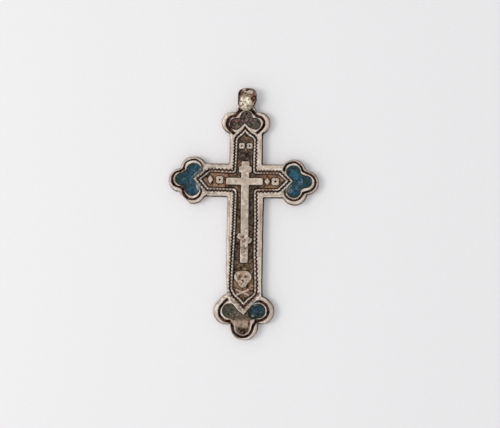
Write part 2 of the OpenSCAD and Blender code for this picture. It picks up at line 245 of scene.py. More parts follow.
# Stains on the loop, with painted highlights on its top and painted shade beside the solder and along the
# notch on its right: x, y, half width, half height, turn, colour, cover
LOOP_STAINS_AND_PAINTED_LIGHT = [
    (0.17, 16.6, 2.6, 2.8, 0, "tawny", 0.7), (0.6, 17.3, 1.6, 1.3, 0, "umber", 0.25),
    (-1.0, 17.5, 0.8, 0.9, 0, "umber", 0.85), (-1.38, 17.2, 0.34, 1.2, 0, "soot", 0.95),
    (-1.0, 17.95, 0.35, 0.32, 30, "soot", 0.9), (-0.7, 18.35, 0.5, 0.14, 0, "chalk", 0.6),
    (-0.7, 17.95, 0.3, 0.25, 0, "tan", 0.8), (-0.3, 17.45, 0.5, 0.25, 0, "umber", 0.75),
    (0.35, 18.22, 0.75, 0.3, 0, "rust", 0.98), (0.2, 18.18, 0.45, 0.16, 0, "soot", 0.7),
    (1.42, 17.95, 0.3, 0.28, 0, "soot", 0.98), (0.1, 17.76, 0.85, 0.2, 14, "chalk", 0.8),
    (0.98, 17.58, 0.38, 0.17, -35, "chalk", 0.75), (1.05, 18.3, 0.3, 0.12, 0, "chalk", 0.55),
    (0.45, 17.3, 0.6, 0.22, 0, "umber", 0.85), (1.1, 17.25, 0.4, 0.22, -30, "rust", 0.85),
    (1.4, 16.7, 0.8, 1.25, 0, "rust", 0.98), (1.4, 16.8, 0.5, 0.8, 0, "rust", 0.8),
    (1.25, 16.3, 0.3, 0.6, 15, "soot", 0.8), (1.62, 16.95, 0.24, 0.26, 0, "soot", 0.6),
    (1.8, 17.3, 0.22, 0.4, 0, "peach", 0.9), (1.5, 16.55, 0.2, 0.22, 0, "peach", 0.75),
    (1.15, 17.0, 0.2, 0.16, 0, "tan", 0.7), (1.42, 15.35, 0.12, 0.5, 0, "peach", 0.9),
    # Painted shadow along the notch on the right, and painted shade in the crevice left of the solder
    (1.8, 15.5, 0.22, 0.6, -25, "soot", 0.98), (-1.5, 15.6, 0.24, 0.9, 0, "soot", 0.85),
    (-0.9, 14.9, 0.7, 0.3, 0, "umber", 0.5),
]
# Drop of solder: its round lobes as x, y, radius, then the heights of its rim and its top
SOLDER_LOBES = [(-0.13, 15.78, 1.42), (-0.66, 15.02, 0.8), (0.26, 15.02, 0.8)]
SOLDER_RIM_Z, SOLDER_TOP_Z = 1.55, 2.98
# Lumps and hollows of the solder: x, y, half width, half height, turn, height
SOLDER_LUMPS = [
    (-1.0, 16.4, 0.36, 0.36, 20, 0.14), (0.2, 16.75, 0.6, 0.28, -10, 0.08),
    (0.55, 16.0, 0.34, 0.7, 10, 0.12), (-0.15, 15.15, 0.5, 0.3, 10, 0.1),
    (-1.05, 15.9, 0.26, 0.28, 0, -0.16), (-0.25, 16.05, 0.42, 0.32, 15, -0.1),
    (-0.68, 15.25, 0.18, 0.34, 10, -0.24), (0.25, 15.0, 0.26, 0.2, 0, -0.2),
    (0.62, 16.2, 0.13, 0.14, 0, -0.16), (-1.15, 14.75, 0.6, 0.42, 20, -0.7),
    (0.72, 14.7, 0.55, 0.4, -20, -0.7), (-0.3, 14.45, 0.5, 0.24, 0, -0.5),
]
# Stains on the solder, with painted highlights on its lumps and painted shade in its hollows and at its edge,
# in the columns of the loop's table
SOLDER_STAINS_AND_PAINTED_LIGHT = [
    (-1.0, 16.42, 0.42, 0.4, 20, "chalk", 0.95), (0.25, 16.75, 0.65, 0.22, -10, "chalk", 0.6),
    (-0.45, 16.55, 0.26, 0.2, 0, "olive", 0.8), (0.75, 15.95, 0.22, 0.6, 12, "chalk", 0.8),
    (-0.15, 15.2, 0.45, 0.25, 10, "chalk", 0.55), (-1.0, 15.75, 0.34, 0.22, 0, "umber", 0.98),
    (-0.25, 15.8, 0.5, 0.18, 10, "olive", 0.85), (-0.68, 15.22, 0.2, 0.36, 10, "umber", 0.9),
    (0.25, 14.98, 0.28, 0.2, 0, "umber", 0.95), (0.62, 16.2, 0.16, 0.16, 0, "umber", 0.98),
    (0.98, 15.5, 0.2, 0.6, 10, "chalk", 0.6), (-1.2, 14.75, 0.3, 0.22, 40, "umber", 0.6),
    (-1.45, 15.5, 0.16, 0.5, 0, "umber", 0.7), (0.7, 14.65, 0.3, 0.18, -20, "umber", 0.6),
    (-0.3, 14.6, 0.7, 0.2, 0, "chalk", 0.6), (-0.95, 14.95, 0.3, 0.4, 30, "chalk", 0.5),
    (0.05, 15.45, 0.5, 0.16, 0, "film", 0.55),
]

# Where the whole outline's middle lies on the origin, the crossing lies here
LEFT_REACH = EDGE_LOBES[4][0] - EDGE_LOBES[4][4]
LOOP_TOP = LOOP_SECTION[1] + LOOP_SECTION[2]
CROSSING = (cad_low.x / MM - LEFT_REACH, cad_high.y / MM - LOOP_TOP)

# Places where film fills the groove and hides its grime: middle, reach along x and y, how much
FILLED_GROOVE = [
    (8.05, -2.0, 0.55, 0.7, 0.75), (-8.65, 2.65, 0.55, 0.75, 0.75),
    (2.8, -23.75, 0.55, 0.4, 0.75),
]
# Places where brown film dulls the raised line: middle, reach along x and y, strength
DULL_LINE = [
    (4.4, -1.95, 2.3, 0.5, 1.0), (4.9, 1.95, 3.2, 0.6, 0.85), (-5.4, 1.95, 3.2, 0.6, 0.85),
    (-5.2, -1.7, 3.0, 0.6, 0.5),
]
# Places of the floor where few bright specks show: middle, reach along x and y, how many fewer
DULL_FLOOR = [
    (0, 5.0, 1.9, 1.4, 0.8), (1.5, -5.0, 1.0, 5.0, 0.8),
    (0, -14.5, 2.6, 3.4, 0.6), (0, 9.0, 1.6, 1.4, 0.6),
]
# Places where the trefoils' groove is wider, or below 0 narrower: middle, reach along x and y, by
# how much
WIDER_GROOVE = [
    (-10.4, 3.4, 2.6, 1.6, -0.1), (0, 13.9, 2.6, 1.3, 0.12),
    (-12.2, -2.4, 1.5, 1.8, 0.12), (-3.5, 11.2, 1.3, 1.5, 0.15),
]

# Stains on the sunk floors and the bare lobe: x, y, half width, half height, turn, colour, cover
STAINS = [
    # Slate left from the enamel of the channel
    (0.0, 5.0, 1.9, 1.25, 0, "slate", 0.95), (1.45, -5.2, 0.75, 5.0, 0, "slate", 0.6),
    (-1.55, -14.8, 0.8, 3.4, 0, "slate", 0.7),
    # Copper, tawny and rust shades of the floor
    (0.0, 9.3, 1.6, 1.1, 0, "tawny", 0.35), (0.0, 3.0, 2.2, 0.9, 0, "tawny", 0.3),
    (-5.6, 0.3, 3.2, 2.2, 0, "copper", 0.85), (-6.2, 1.5, 2.2, 0.6, 0, "tawny", 0.95),
    (-5.8, -1.1, 2.4, 0.45, 0, "tawny", 0.8), (-8.0, 0.6, 0.9, 1.0, 0, "pale_glass", 0.6),
    (5.6, 0.0, 3.2, 2.2, 0, "copper", 0.85), (5.0, -1.3, 2.2, 0.5, 0, "tawny", 0.9),
    (5.6, 1.4, 2.6, 0.5, 0, "tawny", 0.85), (7.3, 0.3, 0.6, 0.8, 0, "tawny", 0.6),
    (1.5, -13.2, 0.9, 4.5, 0, "rust", 0.85), (-1.5, -7.5, 0.8, 4.5, 0, "olive", 0.4),
    (0.0, -17.4, 2.2, 0.8, 0, "olive", 0.7), (0.0, -20.3, 3.4, 2.6, 0, "tawny", 0.65),
    (1.9, -19.9, 0.7, 1.3, 0, "olive", 0.5), (0.3, -22.2, 2.4, 1.1, 0, "mauve", 0.8),
    (0.0, -23.9, 0.9, 0.8, 0, "olive", 0.6),
    # The bare lobe of the bottom trefoil
    (-0.2, -28.5, 1.9, 1.1, 0, "beige", 0.9), (-0.1, -30.1, 1.25, 0.8, 0, "umber", 0.92),
    (0.0, -30.2, 1.0, 0.55, 0, "soot", 0.55), (0.1, -30.45, 0.6, 0.25, 0, "soot", 0.95),
    (-0.9, -29.65, 0.22, 0.2, 0, "soot", 0.85), (-0.45, -30.1, 0.25, 0.18, 0, "soot", 0.85),
    (0.2, -29.75, 0.22, 0.18, 0, "soot", 0.8), (0.7, -29.95, 0.25, 0.25, 0, "soot", 0.85),
    (-0.3, -29.3, 0.3, 0.15, 0, "umber", 0.8), (1.2, -28.6, 0.34, 0.95, 0, "rust", 0.98),
    (1.25, -28.8, 0.24, 0.6, 0, "soot", 0.85), (0.9, -29.6, 0.4, 0.35, 0, "umber", 0.95),
    (-0.2, -30.3, 0.3, 0.12, 0, "peach", 0.25), (0.45, -30.05, 0.18, 0.12, 0, "peach", 0.35),
    (-0.75, -30.2, 0.14, 0.14, 0, "peach", 0.4), (-0.2, -28.2, 0.22, 0.4, 20, "rosy", 0.5),
    (0.45, -28.7, 0.3, 0.16, 0, "rosy", 0.45),
]

# Stains on the band and the rims, with some painted shade and a painted highlight, in the same columns
BAND_STAINS_AND_PAINTED_LIGHT = [
    # Film; on the left arm's upper band it is painted shade
    (-5.4, 2.95, 2.4, 0.45, 0, "film", 0.3), (5.2, -2.6, 2.3, 0.35, 0, "film", 0.45),
    (-15.0, 0.1, 0.5, 1.1, 0, "film", 0.5), (-3.2, -6.0, 0.4, 2.2, 0, "film", 0.4),
    (3.2, -11.0, 0.45, 7.0, 0, "film", 0.3), (0.2, 14.9, 1.6, 0.5, 0, "umber", 0.5),
    # The rubbed white on the bottom tip is partly a painted highlight
    (4.5, 11.3, 0.7, 1.4, 0, "rosy", 0.6), (0.2, -31.4, 1.6, 0.5, 0, "chalk", 0.5),
    # Rims round the enamel, and the bare lobe's
    (-14.15, 0.1, 0.35, 1.4, 0, "olive", 0.55), (-12.35, 1.9, 0.5, 0.45, 0, "green_glass", 0.85),
    (-12.15, -1.35, 0.4, 0.35, 0, "green_glass", 0.6), (-1.45, -28.4, 0.5, 1.1, 0, "beige", 0.9),
    (1.65, -28.2, 0.4, 0.8, 0, "tan", 0.5), (1.3, -24.95, 0.32, 1.0, -44, "worn_glass", 0.75),
    (0.6, -25.75, 0.3, 0.4, -44, "tan", 0.7),
    # Pinkish tinge of the left and the lowest rims
    (-12.6, -2.7, 1.7, 1.1, -44, "rosy", 0.45), (-13.2, 2.1, 1.1, 0.8, 40, "rosy", 0.35),
    (13.9, -1.5, 0.9, 1.3, 0, "rosy", 0.4), (-4.9, -27.9, 1.6, 1.3, 0, "rosy", 0.35),
    (5.6, -26.0, 0.8, 2.2, 0, "rosy", 0.4), (1.8, -30.9, 1.4, 1.0, 30, "rosy", 0.4),
    # Painted shade in the crevices beside the foot of the solder
    (-1.4, 14.3, 0.4, 0.3, 35, "soot", 0.95), (1.15, 14.4, 0.4, 0.26, -35, "soot", 0.95),
    # Painted shade in the outline's corners, most of them on the sides that face right and down
    (3.25, -28.75, 0.4, 0.45, 0, "soot", 0.95), (3.9, -22.75, 0.35, 0.6, 0, "soot", 0.95),
    (-7.9, -3.25, 0.55, 0.25, 20, "soot", 0.95), (12.4, -2.8, 0.45, 0.3, 20, "soot", 0.85),
    (3.5, 9.4, 0.3, 0.5, 0, "soot", 0.95), (-3.15, -29.2, 0.25, 0.4, 0, "umber", 0.8),
    # Worn and speckled corners between the trefoils and the arms
    (7.95, -2.1, 0.65, 0.4, -20, "pale_glass", 0.75), (8.25, -2.15, 0.45, 0.65, 0, "grey_olive_glass", 0.8),
    (-8.55, 2.95, 0.45, 0.6, 0, "olive", 0.65), (2.5, -24.25, 1.1, 0.36, 14, "haze_glass", 0.7),
    (8.15, 2.35, 0.45, 0.5, -30, "umber", 0.55),
]

# Stains on the raised figures, in the same columns
FIGURE_STAINS = [
    (0.0, -11.55, 1.6, 0.9, -24, "film", 1.0), (0.0, -11.6, 1.3, 0.8, -24, "umber", 0.85),
    (0.0, -13.8, 0.9, 1.3, 0, "umber", 0.85), (0.0, -16.0, 0.9, 0.7, 0, "umber", 0.35),
    (0.0, -9.3, 0.7, 1.8, 0, "umber", 0.35), (0.0, -2.6, 0.9, 1.6, 0, "tan", 0.4),
    (0.35, -4.2, 0.15, 0.5, 20, "umber", 0.6), (-0.2, -19.5, 1.9, 2.2, 0, "peach", 0.8),
    (-0.2, -19.5, 1.6, 1.6, 0, "umber", 0.45), (-1.1, -19.3, 0.5, 0.9, 0, "umber", 0.7),
    (0.9, -19.6, 0.35, 0.7, 0, "umber", 0.7), (-0.1, -20.5, 0.8, 0.8, 0, "umber", 0.7),
    (-0.2, -22.3, 1.8, 0.9, 0, "mauve", 0.5), (-7.0, 0.3, 0.8, 1.0, 0, "peach", 0.5),
    (-5.1, 0.2, 1.0, 1.0, 0, "peach", 0.5), (6.0, 0.0, 1.0, 1.0, 0, "peach", 0.4),
    (4.4, 0.0, 1.0, 1.0, 0, "peach", 0.4),
]

# Mottled patina of the band's dip, the band, the floors, the raised line, the grooves, the figures
# and the loop: tone, cover, size of its patches, then the seed, gain and lift of their random field
DIP_MOTTLES = [("film", 0.6, 0.9, 18, 1, 0.7), ("umber", 0.6, 0.22, 46, 2, -0.5)]
BAND_MOTTLES = [
    ("film", 0.7, 0.2, 47, 1.8, -0.5), ("film", 0.3, 1.6, 3, 1.3, 0),
    ("rosy", 0.35, 0.8, 27, 1.2, 0), ("umber", 0.55, 0.26, 19, 1.6, -0.75),
]
FLOOR_MOTTLES = [("soot", 0.95, 0.36, 20, 2.1, -0.2), ("film", 0.45, 0.24, 22, 1.6, 0)]
FLOOR_SPECKS = [("peach", 0.8, 0.26, 29, 2, -0.6)]
LINE_MOTTLES = [("copper", 0.9, 0.4, 65, 1, 0.8)]
GROOVE_MOTTLES = [("copper", 0.5, 0.25, 49, 1.8, -0.4)]
FIGURE_MOTTLES = [("film", 0.35, 0.5, 23, 1, 0.1)]
LOOP_RIM_MOTTLES = [("soot", 0.9, 0.5, 62, 0.8, 1.1)]
LOOP_MOTTLES = [("soot", 0.7, 0.26, 53, 1.8, -0.3)]
LOOP_SPECKS = [("peach", 0.7, 0.22, 54, 1.8, -0.5)]

# Bottom trefoil: where its bare lobe begins, and the disc that holds the right-hand piece of its
# enamel, with the gap between the two pieces
BARE_BELOW = -27.8
SPLIT_DISC, SPLIT_GAP = (2.95, -25.95, 1.92), 0.15
WHOLE, BESIDE, WITHIN = "whole", "beside the disc", "within the disc"

# Enamel: name, material slot, lobes of its bed, which part of the bed it fills, first colour, the
# colours of its edge and its flecks, how mottled it is, then zones of other colours in the columns
# of the stains
ENAMELS = [
    ("enamel_top", "dark_enamel", TOP_BED, WHOLE, "mauve_glass", "umber", "warm_glass", 2.6, [
        (-2.1, 11.3, 1.2, 1.1, 0, "olive_glass", 0.85), (-2.95, 11.5, 0.5, 0.8, 0, "dark_red_glass", 1.0),
        (-2.3, 12.1, 0.6, 0.3, 20, "red_glass", 0.85), (-1.35, 11.95, 0.55, 0.35, 30, "red_glass", 0.8),
        (0.1, 13.0, 0.75, 0.8, 0, "mauve_glass", 0.9), (1.8, 11.4, 1.2, 1.0, 0, "grey_glass", 0.85),
        (1.9, 11.2, 0.5, 0.5, 0, "slate_glass", 0.8), (0.05, 12.0, 0.6, 0.6, 0, "plum_glass", 0.8),
        (2.5, 11.9, 0.4, 0.4, 0, "slate_glass", 0.7), (2.1, 10.8, 0.7, 0.35, 0, "umber", 0.6),
        (1.3, 11.6, 0.35, 0.3, 30, "warm_glass", 0.6),
    ]),
    ("enamel_left", "blue_enamel", LEFT_BED, WHOLE, "deep_teal_glass", "green_glass", "haze_glass", 0.9, [
        (-10.1, 2.2, 1.0, 0.7, 10, "teal_glass", 0.55), (-10.6, 3.0, 1.0, 0.35, 0, "green_glass", 0.8),
        (-11.3, 1.35, 0.65, 0.8, -30, "indigo_glass", 0.8),
        # The dark stripe along the top edge is the rim's painted shadow
        (-10.8, -0.4, 0.7, 1.1, 15, "indigo_glass", 0.8), (-10.35, 3.3, 1.0, 0.22, 0, "soot", 0.8),
        (-13.45, 0.2, 0.6, 0.95, 0, "green_glass", 0.8), (-12.4, 0.4, 0.7, 0.6, 0, "deep_teal_glass", 0.8),
        (-10.6, -2.0, 1.0, 0.75, 0, "blue_glass", 0.85), (-9.6, 1.35, 0.95, 0.24, 40, "worn_glass", 0.55),
        (-8.9, 2.15, 0.4, 0.3, 42, "worn_glass", 0.85), (-9.4, -1.15, 0.42, 1.1, 42, "bloom_glass", 0.98),
        (-9.1, -1.9, 0.35, 0.45, 30, "worn_glass", 0.8), (-10.45, 0.55, 0.35, 0.4, 0, "worn_glass", 0.75),
        (-10.2, 0.7, 0.25, 0.25, 0, "lavender_glass", 0.7), (-11.6, -1.2, 0.35, 0.4, 0, "green_glass", 0.7),
    ]),
    ("enamel_right", "teal_enamel", RIGHT_BED, WHOLE, "deep_teal_glass", "green_glass", "haze_glass", 0.7, [
        (9.6, 1.6, 0.9, 0.7, -30, "teal_glass", 0.95), (10.2, 1.05, 0.6, 0.6, -40, "teal_glass", 0.95),
        # The dark stripe along the top edge is the rim's painted shadow
        (10.1, 1.2, 0.35, 0.3, 0, "lavender_glass", 0.3), (9.65, 3.1, 0.9, 0.2, 0, "soot", 0.7),
        (9.9, 2.75, 1.2, 0.4, 0, "green_glass", 0.75), (10.8, 2.2, 0.45, 0.75, 0, "green_glass", 0.85),
        (12.2, 0.2, 0.9, 0.9, 0, "green_glass", 0.65), (12.6, -0.7, 0.6, 0.4, 0, "green_glass", 0.8),
        (13.0, 0.0, 0.3, 0.9, 0, "green_glass", 0.9), (9.8, -3.05, 1.2, 0.4, 0, "olive_soot_glass", 1.0),
        (11.05, -0.3, 0.6, 0.55, 0, "lavender_glass", 0.85),
        (10.35, -1.0, 0.25, 0.7, -10, "lavender_glass", 0.7), (9.9, -2.0, 1.0, 0.7, 0, "blue_glass", 0.85),
        (9.05, -2.0, 0.35, 0.3, 0, "lavender_glass", 0.85), (9.0, -1.85, 0.14, 0.14, 0, "worn_glass", 0.8),
        (8.45, -1.8, 0.45, 0.6, 0, "worn_glass", 0.7), (11.2, -1.45, 0.4, 0.25, 20, "pale_glass", 0.8),
        (8.8, -0.95, 0.28, 0.8, -46, "worn_glass", 0.85), (8.45, 2.1, 0.28, 0.6, 15, "soot", 0.75),
        (8.3, 1.7, 0.15, 0.2, 0, "worn_glass", 0.7), (11.3, 0.4, 0.25, 0.35, 0, "lavender_glass", 0.7),
        (8.3, 1.6, 0.25, 0.5, 0, "deep_teal_glass", 0.6), (10.85, -0.9, 0.12, 0.12, 0, "pale_glass", 0.8),
    ]),
    ("enamel_bottom_left", "grey_enamel", BOTTOM_BED, BESIDE,
     "grey_olive_glass", "olive_glass", "warm_glass", 1.0, [
        (-2.9, -25.9, 0.9, 1.0, 0, "green_grey_glass", 0.8),
        (-3.85, -26.0, 0.45, 0.85, 0, "olive_soot_glass", 0.75), (0.2, -27.6, 1.1, 0.4, 0, "beige", 0.85),
        (-2.2, -27.55, 1.3, 0.22, -6, "beige", 0.7), (-1.3, -26.3, 0.8, 0.7, 0, "mauve_grey_glass", 0.85),
        (0.0, -27.0, 0.9, 0.7, 0, "brown_glass", 0.9), (0.55, -26.3, 0.5, 0.5, 0, "plum_glass", 0.6),
        (-2.0, -27.05, 1.4, 0.3, -8, "brown_glass", 0.7),
        (-1.6, -24.8, 0.6, 0.4, -45, "mauve_grey_glass", 0.7),
    ]),
    ("enamel_bottom_right", "deep_blue_enamel", BOTTOM_BED, WITHIN,
     "deep_blue_glass", "green_glass", "haze_glass", 0.8, [
        (3.0, -25.7, 1.2, 0.9, 0, "deep_teal_glass", 0.6), (2.5, -26.0, 0.45, 0.45, 0, "blue_glass", 0.8),
        (1.55, -24.9, 0.35, 0.9, -38, "worn_glass", 0.75), (1.9, -25.8, 0.45, 0.6, 0, "blue_glass", 0.8),
        (0.95, -26.3, 0.3, 0.5, 0, "plum_glass", 0.7), (1.75, -26.9, 0.35, 0.3, 0, "worn_glass", 0.95),
        (4.15, -25.8, 0.38, 1.1, 0, "olive_soot_glass", 0.97),
        (3.3, -27.1, 0.9, 0.25, 15, "green_glass", 0.7), (2.5, -24.65, 0.9, 0.25, 10, "worn_glass", 0.6),
        (2.9, -27.15, 0.6, 0.25, 15, "olive_soot_glass", 0.8),
    ]),
]

# Stage, in metres and watts: the sheet of paper and how far it lies below the back, the window's
# light, and the view straight down, with its middle, its width at the band and its turn in degrees
PAPER_HALF, PAPER_DROP = 1.5, 0.00002
PAPER_CORNERS = ((-1, -1), (1, -1), (1, 1), (-1, 1))
WINDOW_SIZE, WINDOW_WATTS, WINDOW_PLACE = 0.18, 0.58, (-0.265, 0.0, 0.335)
VIEW_DISTANCE, VIEW_WIDTH, VIEW_MIDDLE, VIEW_TURN = 0.30, 0.100, (0.00133, 0.00007), 0.9
# Tints of the window's and the room's light, and the way in which the room is brightest
WINDOW_TINT, ROOM_TINT, ROOM_BRIGHT_WAY = (1.0, 0.97, 0.93), (0.985, 0.995, 1.0, 1), (-0.6, -0.3, 0.8)


def linear(code):
    """Linear colour of an sRGB hex value such as C9BDAE."""
    parts = [int(code[i:i + 2], 16) / 255 for i in (0, 2, 4)]
    return tuple(p / 12.92 if p <= 0.04045 else ((p + 0.055) / 1.055) ** 2.4 for p in parts)


# Soft shares and random fields


def inside(distance, soft):
    """1 inside a shape and 0 outside it, changing smoothly over a width of soft."""
    t = np.clip(0.5 - distance / soft, 0, 1)
    return t * t * (3 - 2 * t)


def spot(x, y, cx, cy, half_w, half_h, turn=0.0):
    """Soft oval spot: 1 in its middle, 0 outside it."""
    c, s = math.cos(math.radians(turn)), math.sin(math.radians(turn))
    u = ((x - cx) * c + (y - cy) * s) / half_w
    v = ((y - cy) * c - (x - cx) * s) / half_h
    return inside(np.hypot(u, v) - 0.8, 0.5)


def wander(x, y, size, seed):
    """Smooth random field from -1 to 1 with patches about size millimetres across."""
    lattice = np.random.default_rng(seed).uniform(-1, 1, (256, 256))
    u, v = x / size + 128, y / size + 128
    i, j = np.floor(u).astype(int), np.floor(v).astype(int)
    a, b = u - i, v - j
    a, b = a * a * (3 - 2 * a), b * b * (3 - 2 * b)
    i, j, i2, j2 = i % 256, j % 256, (i + 1) % 256, (j + 1) % 256
    low = lattice[i, j] * (1 - a) + lattice[i2, j] * a
    high = lattice[i, j2] * (1 - a) + lattice[i2, j2] * a
    return low * (1 - b) + high * b


def mottle(x, y, size, seed, gain, lift):
    """Patches from 0 to 1: the random field of that size and seed, stretched by gain and lifted."""
    return np.clip(gain * wander(x, y, size, seed) + lift, 0, 1)


def rubbed(x, y):
    """Where ridges are rubbed bright and carry a painted highlight, in patches."""
    return mottle(x, y, 0.55, 57, 1.2, 0.7)


def lessened(share, x, y, places):
    """A share made less at places: middle, reach along x and y, how much less."""
    for *place, less in places:
        share = share * (1 - less * spot(x, y, *place))
    return share


# Flat distances: millimetres from points to an outline, below zero inside it


def nearest(distances):
    """Distance to the nearest of several shapes."""
    return np.minimum.reduce(list(distances))


def joined(distances, fillet):
    """Distance to several shapes joined, with a small fillet where they meet."""
    found = distances[0]
    for other in distances[1:]:
        h = np.clip(fillet - np.abs(found - other), 0, None) / fillet
        found = np.minimum(found, other) - h * h * fillet / 4
    return found


def slope_of(distance, x, y, step):
    """How fast a distance grows along x and along y."""
    along_x = (distance(x + step, y) - distance(x - step, y)) / (2 * step)
    along_y = (distance(x, y + step) - distance(x, y - step)) / (2 * step)
    return along_x, along_y


def disc_distances(x, y, rows):
    """Distance to each disc of a list of x, y and radius."""
    return [np.hypot(x - cx, y - cy) - r for cx, cy, r in rows]


def run_distances(x, y, rows, inset=0.0):
    """Distance to each disc drawn out along its run, made smaller by inset."""
    found = []
    for cx, cy, run_x, run_y, r in rows:
        run = max(run_x ** 2 + run_y ** 2, 1e-9)
        t = np.clip(((x - cx) * run_x + (y - cy) * run_y) / run, 0, 1)
        found.append(np.hypot(x - cx - t * run_x, y - cy - t * run_y) - r + inset)
    return found


def bar_distance(x, y, cx, cy, half_w, half_h, slope=0.0, corner=0.0):
    """Distance to a bar round its middle, turned by slope degrees, with rounded corners."""
    c, s = math.cos(math.radians(slope)), math.sin(math.radians(slope))
    u = np.abs((x - cx) * c + (y - cy) * s) - half_w + corner
    v = np.abs((y - cy) * c - (x - cx) * s) - half_h + corner
    return np.hypot(np.maximum(u, 0), np.maximum(v, 0)) + np.minimum(np.maximum(u, v), 0) - corner


def outline_distance(x, y, corners):
    """Distance to a closed outline of corners, how far round it the nearest point lies, and the
    values that each corner has after its x and y, taken from the nearest side."""
    gap = np.full(x.shape, np.inf)
    along = np.zeros(x.shape)
    values = [np.zeros(x.shape) for _ in corners[0][2:]]
    within = np.zeros(x.shape, bool)
    travelled = 0.0
    for (ax, ay, *marks), (bx, by, *_) in zip(corners, corners[1:] + corners[:1]):
        ex, ey = bx - ax, by - ay
        length = math.hypot(ex, ey)
        t = np.clip(((x - ax) * ex + (y - ay) * ey) / length ** 2, 0, 1)
        away = np.hypot(x - ax - t * ex, y - ay - t * ey)
        nearer = away < gap
        gap = np.where(nearer, away, gap)
        along = np.where(nearer, travelled + t * length, along)
        values = [np.where(nearer, mark, value) for mark, value in zip(marks, values)]
        if ey:
            within ^= ((ay > y) != (by > y)) & (x < ex * (y - ay) / ey + ax)
        travelled += length
    return np.where(within, -gap, gap), along, values


def plate_edge(x, y):
    """Distance to the plate's outer edge."""
    arms = []
    for (x0, y0), (x1, y1) in STRAIGHT_ARMS:
        arms.append(bar_distance(x, y, (x0 + x1) / 2, (y0 + y1) / 2, (x1 - x0) / 2, (y1 - y0) / 2))
    arms.append(outline_distance(x, y, LOWER_ARM)[0])
    arms.append(nearest(run_distances(x, y, EDGE_LOBES + EDGE_EASES)))
    whole = np.maximum(joined(arms, 0.35), -bar_distance(x, y, *WORN_FLANK))
    return whole + 0.035 * wander(x, y, 1.3, 11) + 0.015 * wander(x, y, 0.4, 12)


def edge_shade(x, y):
    """How much painted shade the plate's outer edge gets near points x, y, by the way it faces: much on its
    right and lower sides, a little on its upper ones."""
    side_x, side_y = slope_of(plate_edge, x, y, 0.1)
    right, below = np.clip(SHADE_RIGHT * side_x, 0, 1), np.clip(-SHADE_BELOW * side_y, 0, 1)
    return right + below + np.clip(SHADE_ABOVE * side_y, 0, 1)


def on_trefoils(x, y):
    """1 on the four trefoils and 0 on the arms between them."""
    away = np.maximum(np.abs(x), np.abs(y - UPRIGHT_MIDDLE) - UPRIGHT_MORE)
    return inside(TREFOILS_BEGIN - away, 1.0)


def pointed(x, y, channel):
    """Distance to the channel, kept sharp beyond its tips instead of rounded."""
    for tip_x, tip_y, way_x, way_y in TIPS:
        ahead = (x - tip_x) * way_x + (y - tip_y) * way_y
        beside = np.abs((x - tip_x) * way_y) + np.abs((y - tip_y) * way_x)
        wedge = np.minimum(channel, (ahead + beside) / math.sqrt(2))
        channel = channel + (wedge - channel) * spot(x, y, tip_x, tip_y, 1.6, 1.6) * (channel > 0)
    return channel


def arch_edge(x, y, sharp, width, lean, cx, cy, grow=0.0):
    """Distance to the channel with the band round one of its tips, made wider by grow."""
    square = bar_distance(x, y, cx, cy, ARCH_REACH, ARCH_REACH)
    return np.maximum(sharp - width + lean * np.clip(x, -1, 1) - grow, square)


def fence_edge(x, y, channel, grow=0.0):
    """Distance to the channel with the pointed bands that part it from the trefoils."""
    sharp = pointed(x, y, channel)
    return nearest(arch_edge(x, y, sharp, *row[:4], grow) for row in ARCHES)


def bed_edge(x, y, rows, channel, inset=0.0):
    """Distance to the beds for the enamel, eased a little where their lobes meet."""
    ease = SIDE_BED_EASE if rows in (LEFT_BED, RIGHT_BED) else BED_EASE
    lobes = joined(run_distances(x, y, rows, inset), ease)
    return np.maximum(lobes, -fence_edge(x, y, channel, inset))


def enamel_edge(x, y, rows, part):
    """Distance to one piece of enamel, with a ragged edge where it has broken away."""
    found = bed_edge(x, y, rows, outline_distance(x, y, CHANNEL)[0], -ENAMEL_REACH)
    ragged = 0.10 * wander(x, y, 0.6, 31) + 0.05 * wander(x, y, 0.25, 32)
    disc = disc_distances(x, y, [SPLIT_DISC])[0] + ragged
    if part == BESIDE:
        found = np.maximum(np.maximum(found, 0.6 * SPLIT_GAP - disc), BARE_BELOW - y + ragged)
    elif part == WITHIN:
        found = np.maximum(found, disc)
    return found


def drop_edge(x, y):
    """Distance to the outline of the drop of solder."""
    lobes = joined(disc_distances(x, y, SOLDER_LOBES), 0.4)
    return lobes + 0.07 * wander(x, y, 0.8, 43) + 0.03 * wander(x, y, 0.3, 44)


def figures_edge(x, y):
    """Distance to the raised cross, the skull, the flowers and the lozenges."""
    shapes = [bar_distance(x, y, *bar, 0.3) for bar in CROSS_BARS]
    shapes.append(nearest(disc_distances(x, y, SKULL_LOBES)) + 0.05 * wander(x, y, 0.4, 13))
    for cx, cy, r in FLOWERS:
        petals = [
            (cx + side * PETAL_AWAY * r, cy + up * PETAL_AWAY * r, PETAL_R * r)
            for side in PETALS for up in PETALS
        ]
        eye = EYE_R * r - np.hypot(x - cx, y - cy)
        shapes.append(np.maximum(nearest(disc_distances(x, y, petals)), eye))
    for cx, cy, half_w, half_h in LOZENGES:
        slant = np.abs(x - cx) / half_w + np.abs(y - cy) / half_h - 1
        shapes.append(slant * half_w * half_h / math.hypot(half_w, half_h))
    return nearest(shapes) + 0.03 * wander(x, y, 0.7, 14)


def bones_edge(x, y):
    """Distance to the crossed bones, each a bar with a knob at either end."""
    cx, cy, half_l, half_w, slope, knob = BONES
    shapes = []
    for turn in (-slope, slope):
        c, s = math.cos(math.radians(turn)), math.sin(math.radians(turn))
        knobs = [(cx + side * c, cy + side * s, knob) for side in (-half_l, half_l)]
        shapes += [bar_distance(x, y, cx, cy, half_l, half_w, turn), *disc_distances(x, y, knobs)]
    return nearest(shapes)


# Carved surfaces


